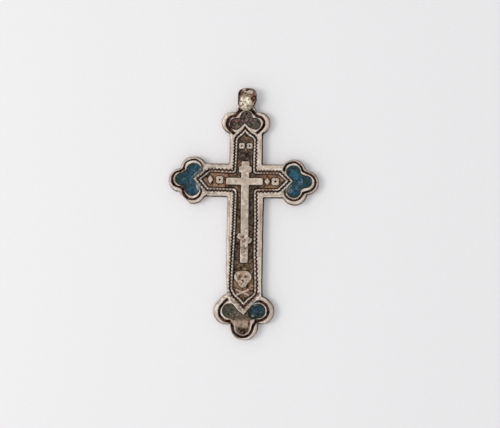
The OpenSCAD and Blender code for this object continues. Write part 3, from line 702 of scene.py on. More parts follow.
class Face:
    """Height and patina, with painted highlights and shade, of a carved surface at many points, worked on cut
    by cut.
    """

    def __init__(self, x, y, height, tones, first):
        self.x, self.y, self.z = x, y, height
        self.tones = tones
        self.colour = np.ones(x.shape + (3,)) * np.array(tones[first])
        self.cover = np.zeros(x.shape)

    def sink(self, distance, level, soft):
        """Cuts down to level inside a shape, with walls about soft wide, and returns where."""
        share = inside(distance, soft)
        self.z = self.z + (np.minimum(self.z, level) - self.z) * share
        return share

    def raise_to(self, distance, level, soft):
        """Builds up to level inside a shape, and returns where."""
        share = inside(distance, soft)
        self.z = self.z + (np.maximum(self.z, level) - self.z) * share
        return share

    def lay(self, tone, cover):
        """Lays a tone over the surface where cover is above 0: patina, painted highlight and painted shade
        alike.
        """
        cover = np.clip(cover, 0, 1)
        self.colour += (np.array(self.tones[tone]) - self.colour) * cover[..., None]
        self.cover = self.cover + (1 - self.cover) * cover

    def clean(self, share):
        """Rubs the patina off where share is above 0."""
        self.cover = self.cover * (1 - np.clip(share, 0, 1))

    def mottle(self, rows, share=1.0):
        """Lays the patches of a table of mottled patina."""
        for tone, cover, *patches in rows:
            self.lay(tone, cover * share * mottle(self.x, self.y, *patches))

    def lay_spots(self, rows, share=1.0):
        """Lays the spots of a table of stains, painted highlights and painted shade, each with a ragged edge.
        """
        x, y = self.x, self.y
        ragged_x = x + 0.22 * wander(x, y, 0.6, 9) + 0.08 * wander(x, y, 0.22, 41)
        ragged_y = y + 0.22 * wander(x, y, 0.6, 10) + 0.08 * wander(x, y, 0.22, 42)
        for *place, tone, cover in rows:
            self.lay(tone, cover * share * spot(ragged_x, ragged_y, *place))


def cast_band(x, y, rounding, tones):
    """The face before it is cut: the band's cast skin, rounded off at its outer edge."""
    edge, trefoils = plate_edge(x, y), on_trefoils(x, y)
    fall = np.clip(1 + edge / rounding, 0, 1)
    top = BAND_Z - EDGE_FALL * fall ** 3 - LIP_FALL * np.clip(1 + edge / LIP_WIDTH, 0, 1) ** 2
    top += 0.025 * wander(x, y, 2.2, 1) + 0.02 * wander(x, y, 0.6, 2) + 0.012 * wander(x, y, 0.25, 25)

    # A shallow dip along the band, dulled by film
    from_dip = edge + DIP_PLACE - DIP_SHIFT * trefoils + 0.06 * wander(x, y, 1.5, 26)
    dip = inside(np.abs(from_dip) - 0.04, 0.18)
    face = Face(x, y, top - DIP_DEPTH * dip, tones, "film")
    face.mottle(DIP_MOTTLES, dip)
    face.mottle(BAND_MOTTLES)

    # Streaks along the band, some rubbed almost white with a painted highlight, some dulled by film
    streaks = wander(edge / 0.16, 0.4 * (x - y), 1, 55) + wander(edge / 0.22, 0.4 * (x + y), 1, 56)
    face.lay("chalk", 0.60 * np.clip(streaks - 0.25, 0, 1))
    face.lay("film", 0.60 * np.clip(-streaks - 0.30, 0, 1))

    # Film at the very edge, and painted shade along it, strong where the edge faces right and down and faint
    # where it faces up
    darkening = np.clip(edge_shade(x, y), 0, 1 - 0.3 * trefoils) * inside(-0.26 - edge, 0.11)
    face.lay("film", 0.55 * inside(-0.14 - edge, 0.12))
    face.lay("umber", darkening ** 4)
    face.lay("soot", darkening * np.clip(1.15 + 0.9 * wander(x, y, 0.4, 66), 0.5, 1))
    return face


def cut_channel(face, sizes):
    """Cuts the channel: a groove beside the band, a raised beaded line and the sunk floor. Returns
    the distances to it and its groove, where its parts are, and the make of its line."""
    x, y = face.x, face.y
    channel, along, (beads, tall, teeth, pitch) = outline_distance(x, y, CHANNEL)
    bead = 0.5 + 0.5 * np.cos(2 * math.pi * (along / pitch + 0.12 * wander(x, y, 1.1, 61)))
    toothed = channel + teeth * TOOTH_REACH * (0.65 - bead) + 0.03 * wander(x, y, 0.8, 4)
    line_level = LINE_Z - LINE_WEAR * (1 - tall) - BEAD_DEPTH * beads * (1 - bead)
    within = channel + sizes.groove_width + 0.18 * spot(x, y, 0, -24.6, 2.8, 2.0)
    groove = np.maximum(toothed, beads * 0.12 * (bead - 0.3) - within)
    # Painted highlight, in rubbed patches, on the band beside the groove, except near the bottom
    ridge_highlight = inside(np.abs(toothed - 0.14) - 0.05, 0.08) * inside(-22 - y, 1)
    face.lay("chalk", 0.6 * rubbed(x, y) * ridge_highlight)
    face.sink(toothed, line_level, sizes.wall_width)
    face.sink(groove, GROOVE_Z, sizes.wall_width)
    floor_edge = within + sizes.line_width
    floor = face.sink(floor_edge, FLOOR_Z + 0.04 * wander(x, y, 0.7, 5), sizes.wall_width)
    return SimpleNamespace(
        edge=channel, groove=groove, floor=floor,
        line=inside(np.abs(within + sizes.line_width / 2) - sizes.line_width / 2, 0.1),
        foot=inside(np.abs(floor_edge + 0.15) - 0.13, 0.10),
        tall=tall, beads=beads, bead=bead,
    )


def cut_trefoils(face, channel, sizes):
    """Cuts the groove, the inner rim and the bed of each trefoil, and returns the distance to the
    fence, the distance to the groove, and where the beds are."""
    x, y = face.x, face.y
    fence = fence_edge(x, y, channel.edge)
    lobes = joined([nearest(run_distances(x, y, rows)) for rows in (GROOVE_LOBES, GROOVE_HEARTS)], 0.4)
    lobes += 0.05 * wander(x, y, 0.9, 6) + 0.03 * wander(x, y, 0.3, 58)
    face.sink(np.maximum(lobes, -fence), LINE_Z, sizes.wall_width)
    width = sizes.groove_width + 0.14 * inside(np.abs(x) - 6.5, 1.0)
    for *place, wider in WIDER_GROOVE:
        width += wider * spot(x, y, *place)
    width += 0.06 * wander(x, y, 0.7, 59)
    groove = np.abs(lobes + width / 2) - width / 2
    face.sink(np.maximum(groove, -fence), GROOVE_Z, sizes.wall_width)

    beds = nearest(bed_edge(x, y, rows, channel.edge) for rows in (TOP_BED, LEFT_BED, RIGHT_BED, BOTTOM_BED))
    # Painted highlights, in rubbed patches, on the rims outside the trefoils' groove and round the beds
    for rim, cover in ((lobes - 0.13, 0.5), (beds - 0.13, 0.7)):
        face.lay("chalk", cover * rubbed(x, y) * inside(np.abs(rim) - 0.04, 0.08) * inside(-fence, 0.1))
    bare = inside(y - BARE_BELOW, 0.8)
    level = BED_Z + 0.05 * wander(x, y, 0.6, 7) + 0.35 * bare + 0.5 * spot(x, y, -1.1, -28.3, 1.0, 1.1)
    return fence, groove, face.sink(beds, level, sizes.wall_width + 0.5 * bare)


def dress_arches(face, channel):
    """Film, dark specks and a rubbed line with a painted highlight on the bands round the channel's tips."""
    x, y = face.x, face.y
    sharp = pointed(x, y, channel.edge)
    worn = np.clip(0.8 + 0.8 * wander(x, y, 0.4, 28) + 0.8 * wander(x, y, 0.24, 48), 0, 1)
    for width, lean, cx, cy, tone, cover, bright in ARCHES:
        arch = arch_edge(x, y, sharp, width, lean, cx, cy)
        on_arch = inside(arch, 0.1) * inside(0.02 - channel.edge, 0.2)
        specks = mottle(x, y, 0.28, 64, 2, -0.5) * inside(channel.edge - width + 0.3, 0.2)
        line = inside(np.abs(arch + 0.09) - 0.06, 0.08) * np.clip(0.4 + worn, 0, 1)
        face.lay(tone, cover * worn * on_arch)
        face.lay("umber", 0.8 * specks * on_arch)
        face.lay("chalk", bright * line)


def dress_floors(face, channel, beds):
    """Stains of the band with some painted shade and highlight, then the patina of the channel's floor and of
    the beds, with grime and painted shade at the foot of the raised line.
    """
    floor = channel.floor
    face.lay_spots(BAND_STAINS_AND_PAINTED_LIGHT)
    face.lay("umber", 0.97 * floor)
    face.lay("umber", 0.8 * beds)
    face.lay_spots(STAINS, np.maximum(floor, beds))
    face.mottle(FLOOR_MOTTLES, floor)
    face.mottle(FLOOR_SPECKS, lessened(floor, face.x, face.y, DULL_FLOOR))
    # Grime and painted shade along the floor at the foot of the raised line
    face.lay("soot", 0.95 * channel.foot * floor)


def dress_line(face, channel):
    """The raised line: its beads rubbed bright with a painted highlight or dulled by copper film, with dirt
    between them.
    """
    x, y = face.x, face.y
    line, tall, beads, bead = channel.line, channel.tall, channel.beads, channel.bead
    dull = np.maximum.reduce([strength * spot(x, y, *place) for *place, strength in DULL_LINE])
    face.clean(line * tall)
    face.lay("chalk", 0.95 * line * tall * (1 - beads + beads * bead) * rubbed(x, y) * (1 - dull))
    face.mottle(LINE_MOTTLES, line * dull)
    face.lay("soot", line * np.clip(0.40 - 0.40 * tall + 0.62 * beads * (1 - bead) ** 1.5, 0, 1))


def dress_grooves(face, channel, fence, groove):
    """Grime packed in the grooves, rusty or coppery in places."""
    x, y = face.x, face.y
    in_trefoils = inside(np.maximum(groove - 0.03, -fence), 0.07)
    darkening = np.maximum(inside(channel.groove - 0.03, 0.07), in_trefoils)
    darkening = lessened(darkening, x, y, FILLED_GROOVE)
    redder = 0.3 * on_trefoils(x, y) - 1.2 * spot(x, y, 0, 14.1, 2.2, 1.2)
    redder += 1.4 * spot(x, y, 0, -24.6, 2.8, 2.0)
    face.lay("soot", darkening)
    face.lay("rust", 0.7 * darkening * mottle(x, y, 0.6, 30, 1.5, redder))
    face.mottle(GROOVE_MOTTLES, darkening)


def stand_figures(face, soft):
    """Figures standing on the floor, rounded by wear, with dirt packed round their feet."""
    x, y = face.x, face.y
    figures = figures_edge(x, y)
    face.lay("soot", (0.95 - 0.4 * spot(x, y, -0.2, -20.6, 2.8, 3.4)) * inside(figures - 0.16, 0.14))
    crown = FIGURE_Z - 0.05 * np.clip(1 + figures / 0.2, 0, 1) ** 2
    crown += 0.02 * wander(x, y, 0.5, 15) + 0.02 * wander(x, y, 1.7, 16)
    stood = face.raise_to(figures, crown, soft)
    face.clean(stood * inside(figures + 0.02, 0.12))
    worn = np.clip(0.8 + 0.7 * wander(x, y, 0.5, 24) + 0.6 * wander(x, y, 0.16, 50), 0, 1)
    face.lay("tan", (0.5 - 0.25 * spot(x, y, 2.2, 0, 2.4, 1.2)) * inside(figures + 0.22, 0.12) * worn)
    # Painted highlight, in rubbed patches, along the figures' edges
    face.lay("chalk", 0.6 * rubbed(x, y) * inside(np.abs(figures + 0.15) - 0.05, 0.08))
    boned = face.raise_to(bones_edge(x, y), BONE_Z, soft)
    face.clean(0.6 * boned)
    face.lay("soot", 0.75 * face.sink(nearest(disc_distances(x, y, SKULL_PITS)), PIT_Z, soft))
    blotches = np.clip(0.4 + 1.4 * wander(x, y, 0.28, 17) + 1.0 * wander(x, y, 0.15, 51), 0, 1)
    face.lay_spots(FIGURE_STAINS, blotches * np.maximum(stood, boned))
    face.mottle(FIGURE_MOTTLES, stood)


def carve_silver(x, y, sizes, tones):
    """The face of the silver body at points x, y."""
    face = cast_band(x, y, sizes.edge_rounding, tones)
    channel = cut_channel(face, sizes)
    fence, trefoil_groove, beds = cut_trefoils(face, channel, sizes)
    dress_arches(face, channel)
    dress_floors(face, channel, beds)
    dress_line(face, channel)
    dress_grooves(face, channel, fence, trefoil_groove)
    stand_figures(face, sizes.wall_width)
    return face


def fire_enamel(x, y, edge, tones, first, last, fleck, mottled, zones):
    """The top of a piece of enamel: it climbs its walls, dips in the middle and has small pits."""
    depth = np.clip(-edge, 0, None)
    thin = inside(y - BARE_BELOW - 0.45, 0.9)
    pits = np.clip(wander(x, y, 0.19, 35) - 0.72, 0, 1) / 0.28
    z = ENAMEL_Z + ENAMEL_CLIMB * np.exp(-depth / CLIMB_WIDTH) - ENAMEL_DIP * inside(0.7 - depth, 0.8)
    z += 0.02 * wander(x, y, 0.9, 33) + 0.008 * wander(x, y, 0.2, 34)
    face = Face(x, y, z - ENAMEL_WEAR * thin - ENAMEL_PITS * pits, tones, first)
    face.lay(first, np.ones(x.shape))
    face.lay_spots(zones)
    face.lay("soot", 0.8 * mottled * mottle(x, y, 0.30, 36, 1.5, -0.25))
    face.lay(fleck, 0.65 * mottled * mottle(x, y, 0.24, 37, 1.7, -0.45))
    face.lay(last, 0.6 * inside(depth - 0.28, 0.3))
    # Dirt in the crevice round the glass; beside the side arms the glass is worn pale instead
    worn_pale = inside(np.abs(x) - 9.8, 0.7) * inside(6 - np.abs(x), 0.5)
    crevice = (1 - thin) * (1 - 0.9 * worn_pale) * inside(depth - 0.16, 0.16)
    face.lay("soot", 0.8 * pits + 0.85 * crevice)
    return face


def melt_drop(x, y, tones):
    """The top of the drop of solder: a flat cushion with lumps and hollows, stains, painted highlights,
    painted shade in the hollows, and a dark brown rim.
    """
    edge = drop_edge(x, y)
    inward = np.clip(-edge / SOLDER_LOBES[0][2], 0, 1)
    z = SOLDER_RIM_Z + (SOLDER_TOP_Z - SOLDER_RIM_Z) * (1 - (1 - inward) ** 4.5) ** 0.5
    for cx, cy, half_w, half_h, turn, height in SOLDER_LUMPS:
        z = z + height * spot(x, y, cx, cy, 1.15 * half_w, 1.15 * half_h, turn)
    face = Face(x, y, z + 0.02 * wander(x, y, 0.35, 45), tones, "solder")
    face.lay_spots(SOLDER_STAINS_AND_PAINTED_LIGHT)
    face.lay("umber", 0.8 * inside(-0.10 - edge, 0.12) * mottle(x, y, 0.4, 63, 1, 0.3))
    return face


# Meshes


def loop_wall(turn):
    """The loop's thick wall, for turns round the bore's axis: rows of points that go once round the
    wall's section, each with its place along the axis and its distance from it."""
    up, out = np.cos(turn), np.sin(turn)
    low_y, high_y, radius = LOOP_SECTION
    round_ends = [
        (middle - BORE_Y) * up + np.sqrt(radius ** 2 - ((middle - BORE_Y) * out) ** 2)
        for middle in (low_y, high_y)
    ]
    flat = radius / np.maximum(np.abs(out), 1e-6)
    beside = (BORE_Y + flat * up > low_y) & (BORE_Y + flat * up < high_y)
    reach = np.where(beside, flat, np.maximum(*round_ends))

    corners = []
    for side, ease, start, steps in WALL_CORNERS:
        for angle in np.radians(np.linspace(start, start + 90, 8)):
            middle = np.full(len(turn), BORE_R + ease) if ease == BORE_EASE else reach - ease
            across = side * (LOOP_HALF_W - ease) + ease * math.cos(angle)
            corners.append((np.full(len(turn), across), middle + ease * math.sin(angle), steps))
    path = []
    for (across, away, steps), (next_across, next_away, _) in zip(corners, corners[1:] + corners[:1]):
        straight = max(abs(next_across[0] - across[0]), abs(next_away[0] - away[0])) > 0.2
        count = steps if straight else 1
        for share in np.arange(count) / count:
            path.append((across + (next_across - across) * share, away + (next_away - away) * share))
    return (np.stack(column, 1) for column in zip(*path))


def barrel_loop():
    """The closed, thick-walled barrel with the cord's hole through it, worn and dented: its points,
    how much each is on the rubbed front, and its faces."""
    turn = np.linspace(0, 2 * math.pi, 180, endpoint=False)
    x, away = loop_wall(turn)
    y = BORE_Y + away * np.cos(turn)[:, None]
    z = BORE_Z + away * np.sin(turn)[:, None]

    # Hammered and pitted skin, then a rubbed front with dents in it
    skin = inside(0.3 - (away - BORE_R), 0.3)
    rough = 0.03 * wander(x + 0.6 * z, y - 0.7 * z, 0.8, 51) + 0.015 * wander(x - z, y + z, 0.3, 52)
    shrink = 1 - skin * (0.045 + rough) / away
    y = BORE_Y + (y - BORE_Y) * shrink
    z = BORE_Z + (z - BORE_Z) * shrink
    front = inside(1.9 - z, 0.8)
    z = z - LOOP_WEAR * np.clip((z - BORE_Z) / LOOP_SECTION[2], 0, 1) ** 2
    x = x + LOOP_X
    for *place, depth in LOOP_DENTS:
        z = z - depth * front * skin * spot(x, y, *place)

    # The taper at its foot on the right, and the shoulders
    narrow, top, over = LOOP_TAPER
    x = x - narrow * np.clip((top - y) / over, 0, 1) * np.clip((x - LOOP_X) / LOOP_HALF_W, 0, 1)
    share, start, over = LOOP_SHOULDERS
    x = x - share * (x - LOOP_X) * np.clip((y - start) / over, 0, 1) ** 2

    here = np.arange(x.size).reshape(x.shape)
    beside, after = np.roll(here, -1, 1), np.roll(here, -1, 0)
    faces = np.stack([here, beside, np.roll(beside, -1, 0), after], 2).reshape(-1, 4).tolist()
    return x.ravel(), y.ravel(), z.ravel(), (front * skin).ravel(), faces


def piece(name, points, faces, material, node, colour, cover):
    """Makes a smooth mesh piece on the body, from points in millimetres from the crossing, with its patina
    and painted light as a colour attribute."""
    mesh = bpy.data.meshes.new(name)
    mesh.from_pydata(((points + (*CROSSING, 0)) * MM).tolist(), [], faces)
    mesh.validate()
    mesh.shade_smooth()
    patina = mesh.attributes.new("patina", "FLOAT_COLOR", "POINT")
    values = np.concatenate([colour, cover[:, None]], 1)
    patina.data.foreach_set("color", values.astype(np.float32).ravel())
    mesh.materials.append(material)
    thing = bpy.data.objects.new(name, mesh)
    bpy.context.scene.collection.objects.link(thing)
    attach(thing, "root")
    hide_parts(node)
    return thing


def cell_grid(distance, box, pitch):
    """Grid points over a box, and the cells whose middles lie inside the outline."""
    x, y = np.meshgrid(*[np.arange(low, high + pitch, pitch) for low, high in zip(*box)])
    kept = distance(x[:-1, :-1] + pitch / 2, y[:-1, :-1] + pitch / 2) < 0
    while True:  # cells that touch only at a corner get a third one, so that the mesh stays closed
        a, b, c, d = kept[:-1, :-1], kept[:-1, 1:], kept[1:, :-1], kept[1:, 1:]
        pinched = (a & d & ~b & ~c) | (b & c & ~a & ~d)
        if not pinched.any():
            return x, y, kept
        kept[:-1, :-1] |= pinched
        kept[:-1, 1:] |= pinched


def border_of(quads, count):
    """The points on the border of a sheet of quads with count points, followed once round."""
    sides = np.concatenate([quads[:, [k, (k + 1) % 4]] for k in range(4)])
    keys, back_keys = sides[:, 0] * count + sides[:, 1], sides[:, 1] * count + sides[:, 0]
    lonely = sides[~np.isin(keys, back_keys)]
    following = dict(lonely.tolist())
    loop = [int(lonely[0, 0])]
    while following[loop[-1]] != loop[0]:
        loop.append(following[loop[-1]])
    return np.array(loop)


def evened(values, reach=7):
    """Values round a loop, each the mean of those up to reach places away."""
    return sum(np.roll(values, shift) for shift in range(-reach, reach + 1)) / (2 * reach + 1)


def settle_border(x, y, loop, distance, pitch):
    """Moves the points of a border onto the outline, and returns which way is out at each."""
    for turn in range(10):
        if 2 < turn < 8:  # spaces the points evenly along the outline
            for values in (x, y):
                values[loop] += (np.roll(values[loop], 1) + np.roll(values[loop], -1) - 2 * values[loop]) / 4
        here = distance(x[loop], y[loop])
        slope_x, slope_y = slope_of(distance, x[loop], y[loop], pitch / 10)
        steep = np.maximum(np.hypot(slope_x, slope_y), 0.3)
        slope_x, slope_y = slope_x / steep, slope_y / steep
        x[loop] -= 0.9 * here / steep * slope_x
        y[loop] -= 0.9 * here / steep * slope_y
    out_x, out_y = evened(slope_x), evened(slope_y)
    steep = np.hypot(out_x, out_y)
    return out_x / steep, out_y / steep


def fill_back(border, distance, box, inset, pitch):
    """Points spread over the back inside its border, and triangles over the border's points and
    then these."""
    x, y = np.meshgrid(*[np.arange(low, high, pitch) for low, high in zip(*box)])
    keep = distance(x, y) < -inset - 0.6 * pitch
    x, y = x[keep], y[keep]
    flat = [Vector(place[:2]) for place in border] + [Vector(place) for place in zip(x, y)]
    around = [(k, (k + 1) % len(border)) for k in range(len(border))]
    found, _, triangles, origins, _, _ = delaunay_2d_cdt(flat, around, [], 1, 1e-7)
    if len(found) != len(flat) or any(len(origin) != 1 for origin in origins):
        raise RuntimeError("the back's edge crosses itself")
    return x, y, [[origins[corner][0] for corner in reversed(triangle)] for triangle in triangles]


def carved_solid(distance, surface, box, pitch, rings, back_pitch):
    """Closed mesh of a flat shape: a fine carved face, a side wall in rings and a plain back.

    distance(x, y) is below zero inside the shape, and surface(x, y) gives its Face. Each ring is
    how far it stands in from the outline and its height; the last is the back's edge. Returns
    points, faces, colours, covers and the number of points on the carved face.
    """
    x, y, kept = cell_grid(distance, box, pitch)
    rows, columns = np.nonzero(kept)
    width = x.shape[1]
    first = rows * width + columns
    quads = np.stack([first, first + 1, first + width + 1, first + width], 1)
    used, quads = np.unique(quads, return_inverse=True)
    quads = quads.reshape(-1, 4)
    count = len(used)
    x, y = x.ravel()[used], y.ravel()[used]
    loop = border_of(quads, count)
    out_x, out_y = settle_border(x, y, loop, distance, pitch)
    face = surface(x, y)

    parts = [np.stack([x, y, face.z], 1)]
    faces = quads.tolist()
    around = len(loop)
    previous, made = loop, count
    for inset, height in rings:
        parts.append(np.stack([x[loop] - inset * out_x, y[loop] - inset * out_y, np.full(around, height)], 1))
        current = made + np.arange(around)
        after, current_after = np.roll(previous, -1), np.roll(current, -1)
        faces += np.stack([after, previous, current, current_after], 1).tolist()
        previous, made = current, made + around

    # Back: the last ring filled with triangles, and gently uneven
    back_x, back_y, triangles = fill_back(parts[-1], distance, box, inset, back_pitch)
    faces += [[made - around + corner for corner in triangle] for triangle in triangles]
    lift = 0.03 * (1 + wander(back_x, back_y, 1.8, 21)) / 2
    parts.append(np.stack([back_x, back_y, height + lift], 1))
    points = np.concatenate(parts)
    extra = len(points) - count
    colour = np.concatenate([face.colour, np.ones((extra, 3)) * face.colour[0]])
    return points, faces, colour, np.concatenate([face.cover, np.zeros(extra)]), count


# Materials

# Inputs of the mix node, by number because its names repeat, and its output for a colour
FACTOR, NUMBER_A, NUMBER_B, COLOUR_A, COLOUR_B = 0, 2, 3, 6, 7
MIXED_COLOUR = 2
# Span that holds nearly all values of a noise, as inputs of a map range node
NOISE_SPAN = {"From Min": 0.3, "From Max": 0.7}


def put(tree, kind, inputs=None, **settings):
    """Adds a node with its settings; an input is a value, a node for its first output, or an output."""
    made = tree.nodes.new("ShaderNode" + kind)
    for name, value in settings.items():
        if name == "stops":
            ramp = made.color_ramp
            while len(ramp.elements) < len(value):
                ramp.elements.new(0.5)
            for element, (position, colour) in zip(ramp.elements, value):
                element.position = position
                element.color = (*colour, 1)
        else:
            setattr(made, name, value)
    for name, value in (inputs or {}).items():
        if isinstance(value, bpy.types.Node):
            value = value.outputs[0]
        if isinstance(value, bpy.types.NodeSocket):
            tree.links.new(value, made.inputs[name])
        else:
            made.inputs[name].default_value = value
    return made


def new_tree(name):
    """An empty material, its tree and the coordinates of its object, in metres."""
    material = bpy.data.materials.new(name)
    material.use_nodes = True
    tree = material.node_tree
    tree.nodes.clear()
    return material, tree, put(tree, "TexCoord").outputs["Object"]


def per_size(size):
    """Noise scale whose patches are about size millimetres across."""
    return 1 / (size * MM)


def cast_silver(tones, name="worn_cast_silver"):
    """Cast silver rubbed by long wear: warm, half-matt metal, with dull patina in its hollows, and the
    painted highlights and shade that its patina attribute carries.
    """
    material, tree, coordinates = new_tree(name)
    patina = put(tree, "Attribute", attribute_name="patina")
    amount = patina.outputs["Alpha"]
    patches = put(
        tree, "TexNoise", {"Vector": coordinates, "Scale": per_size(1.3), "Detail": 5.0, "Roughness": 0.6},
    )
    metal = put(
        tree, "ValToRGB", {"Fac": patches},
        stops=[(0.36, tones["silver_grey"]), (0.5, tones["silver_warm"]), (0.62, tones["silver_light"])],
    )

    # Casting grain, about a tenth of a millimetre, drawn twice as coarse so that it shows, breaks
    # the patina up where it is thin
    grain = put(
        tree, "TexNoise", {"Vector": coordinates, "Scale": per_size(0.22), "Detail": 4.0, "Roughness": 0.65},
    )
    shift = put(tree, "MapRange", {"Value": grain, **NOISE_SPAN, "To Min": -1.1, "To Max": 1.1})
    clear = put(tree, "Math", {0: 1.0, 1: amount}, operation="SUBTRACT")
    thin = put(tree, "Math", {0: clear, 1: amount}, operation="MULTIPLY")
    cover = put(tree, "Math", {0: thin, 1: shift, 2: amount}, operation="MULTIPLY_ADD", use_clamp=True)
    shade = put(tree, "MapRange", {"Value": grain, **NOISE_SPAN, "To Min": 0.4, "To Max": 1.6})
    dirt = put(
        tree, "Mix", {FACTOR: 1.0, COLOUR_A: patina, COLOUR_B: shade},
        data_type="RGBA", blend_type="MULTIPLY",
    )
    colour = put(
        tree, "Mix", {FACTOR: cover, COLOUR_A: metal, COLOUR_B: dirt.outputs[MIXED_COLOUR]}, data_type="RGBA",
    )
    polish = put(tree, "MapRange", {"Value": patches, **NOISE_SPAN, "To Min": 0.44, "To Max": 0.62})
    shader = put(tree, "BsdfPrincipled", {
        "Base Color": colour.outputs[MIXED_COLOUR],
        "Metallic": put(tree, "MapRange", {"Value": cover, "To Min": 1.0, "To Max": 0.0}),
        "Roughness": put(tree, "Mix", {FACTOR: cover, NUMBER_A: polish, NUMBER_B: 0.8}, data_type="FLOAT"),
        "Specular IOR Level": put(tree, "MapRange", {"Value": cover, "To Min": 0.5, "To Max": 0.04}),
        "Normal": put(tree, "Bump", {"Height": grain, "Strength": 0.35, "Distance": 0.04 * MM}),
    })
    put(tree, "OutputMaterial", {"Surface": shader})
    return material


def tin_solder(tones):
    """Soft solder gone dull: bright creamy metal with a pitted skin, and stains and painted shade in its
    hollows.
    """
    tin = {name: tones["solder"] for name in ("silver_grey", "silver_warm")}
    tin["silver_light"] = tones["solder_light"]
    return cast_silver(tin, "dull_tin_solder")


def fired_enamel():
    """Vitreous enamel fired into the bed and long worn: deep soft colour under a dulled gloss."""
    material, tree, coordinates = new_tree("fired_enamel")
    tint = put(tree, "Attribute", attribute_name="patina")
    clouds = put(
        tree, "TexNoise", {"Vector": coordinates, "Scale": per_size(0.5), "Detail": 6.0, "Roughness": 0.7},
    )
    shade = put(tree, "MapRange", {"Value": clouds, **NOISE_SPAN, "To Min": 0.1, "To Max": 1.4})
    colour = put(
        tree, "Mix", {FACTOR: 1.0, COLOUR_A: tint, COLOUR_B: shade}, data_type="RGBA", blend_type="MULTIPLY",
    )
    # Fine pits of burst bubbles, under a tenth of a millimetre, drawn a little coarser
    pits = put(tree, "TexNoise", {"Vector": coordinates, "Scale": per_size(0.16), "Detail": 3.0})
    shader = put(tree, "BsdfPrincipled", {
        "Base Color": colour.outputs[MIXED_COLOUR],
        "Roughness": put(tree, "MapRange", {"Value": clouds, **NOISE_SPAN, "To Min": 0.22, "To Max": 0.48}),
        "Specular IOR Level": 0.22,
        "Normal": put(tree, "Bump", {"Height": pits, "Strength": 0.3, "Distance": 0.03 * MM}),
    })
    put(tree, "OutputMaterial", {"Surface": shader})
    return material


def matt_paper(tone):
    """Plain white paper: matt, with a barely seen tooth."""
    material, tree, coordinates = new_tree("matt_white_paper")
    fibre = put(tree, "TexNoise", {"Vector": coordinates, "Scale": per_size(0.8), "Detail": 3.0})
    darker = tuple(0.985 * c for c in tone)
    shader = put(tree, "BsdfPrincipled", {
        "Base Color": put(tree, "ValToRGB", {"Fac": fibre}, stops=[(0.3, darker), (0.7, tone)]),
        "Roughness": 0.9,
        "Specular IOR Level": 0.2,
        "Normal": put(tree, "Bump", {"Height": fibre, "Strength": 0.1, "Distance": 0.02 * MM}),
    })
    put(tree, "OutputMaterial", {"Surface": shader})
    return material


# Stage


def lay_paper(scene, tone):
    """Lays a wide sheet of paper just below the back."""
    corners = [(side * PAPER_HALF, up * PAPER_HALF, -PAPER_DROP) for side, up in PAPER_CORNERS]
    mesh = bpy.data.meshes.new("paper")
    mesh.from_pydata(corners, [], [(0, 1, 2, 3)])
    mesh.materials.append(matt_paper(tone))
    paper = bpy.data.objects.new("paper", mesh)
    scene.collection.objects.link(paper)


def light_room(scene):
    """A room that is brightest overhead and towards the window, and dim on the far side."""
    world = bpy.data.worlds.new("soft_room")
    scene.world = world
    world.use_nodes = True
    tree = world.node_tree
    direction = put(tree, "TexCoord").outputs["Generated"]
    bright = put(tree, "VectorMath", {0: direction, 1: ROOM_BRIGHT_WAY}, operation="DOT_PRODUCT")
    bright = bright.outputs["Value"]
    glow = put(
        tree, "MapRange", {"Value": bright, "From Min": -0.5, "From Max": 0.9, "To Min": 0.35, "To Max": 1.0},
    )
    background = tree.nodes["Background"]
    background.inputs["Color"].default_value = ROOM_TINT
    tree.links.new(glow.outputs["Result"], background.inputs["Strength"])


def hang_window(scene):
    """The window's light, aimed at the cross's middle."""
    light = bpy.data.lights.new("window_light", "AREA")
    light.shape = "DISK"
    light.size = WINDOW_SIZE
    light.energy = WINDOW_WATTS
    light.color = WINDOW_TINT
    window = bpy.data.objects.new("window_light", light)
    window.location = WINDOW_PLACE
    window.rotation_mode = "QUATERNION"
    window.rotation_quaternion = (-window.location).to_track_quat("-Z", "Y")
    scene.collection.objects.link(window)


def place_camera(scene):
    """The camera, looking straight down, turned as the cross lies in the picture."""
    camera = bpy.data.cameras.new("camera")
    camera.sensor_width = 36
    camera.lens = camera.sensor_width * VIEW_DISTANCE / VIEW_WIDTH
    camera.clip_start, camera.clip_end = 0.01, 10
    eye = bpy.data.objects.new("camera", camera)
    eye.location = (*VIEW_MIDDLE, BAND_Z * MM + VIEW_DISTANCE)
    eye.rotation_euler = (0, 0, math.radians(VIEW_TURN))
    scene.collection.objects.link(eye)
    scene.camera = eye
    scene.view_settings.view_transform = "Standard"


# What a user would change


class CrossSizes(bpy.types.PropertyGroup):
    mesh_pitch: FloatProperty(
        name="Mesh pitch", description="Spacing of the points of the carved face",
        default=0.085 * MM, min=0.08 * MM, precision=5, unit="LENGTH",
    )
    groove_width: FloatProperty(
        name="Groove width", description="Width of the sunk groove along the band",
        default=0.36 * MM, min=0.2 * MM, precision=5, unit="LENGTH",
    )
    line_width: FloatProperty(
        name="Line width", description="Width of the raised line inside the groove",
        default=0.30 * MM, min=0.1 * MM, precision=5, unit="LENGTH",
    )
    wall_width: FloatProperty(
        name="Wall width", description="How far a wall of the relief spreads from top to foot",
        default=0.13 * MM, min=0.1 * MM, precision=5, unit="LENGTH",
    )
    edge_rounding: FloatProperty(
        name="Edge rounding", description="How far the worn rounding of the outer edge reaches in",
        default=0.55 * MM, min=0.1 * MM, precision=5, unit="LENGTH",
    )


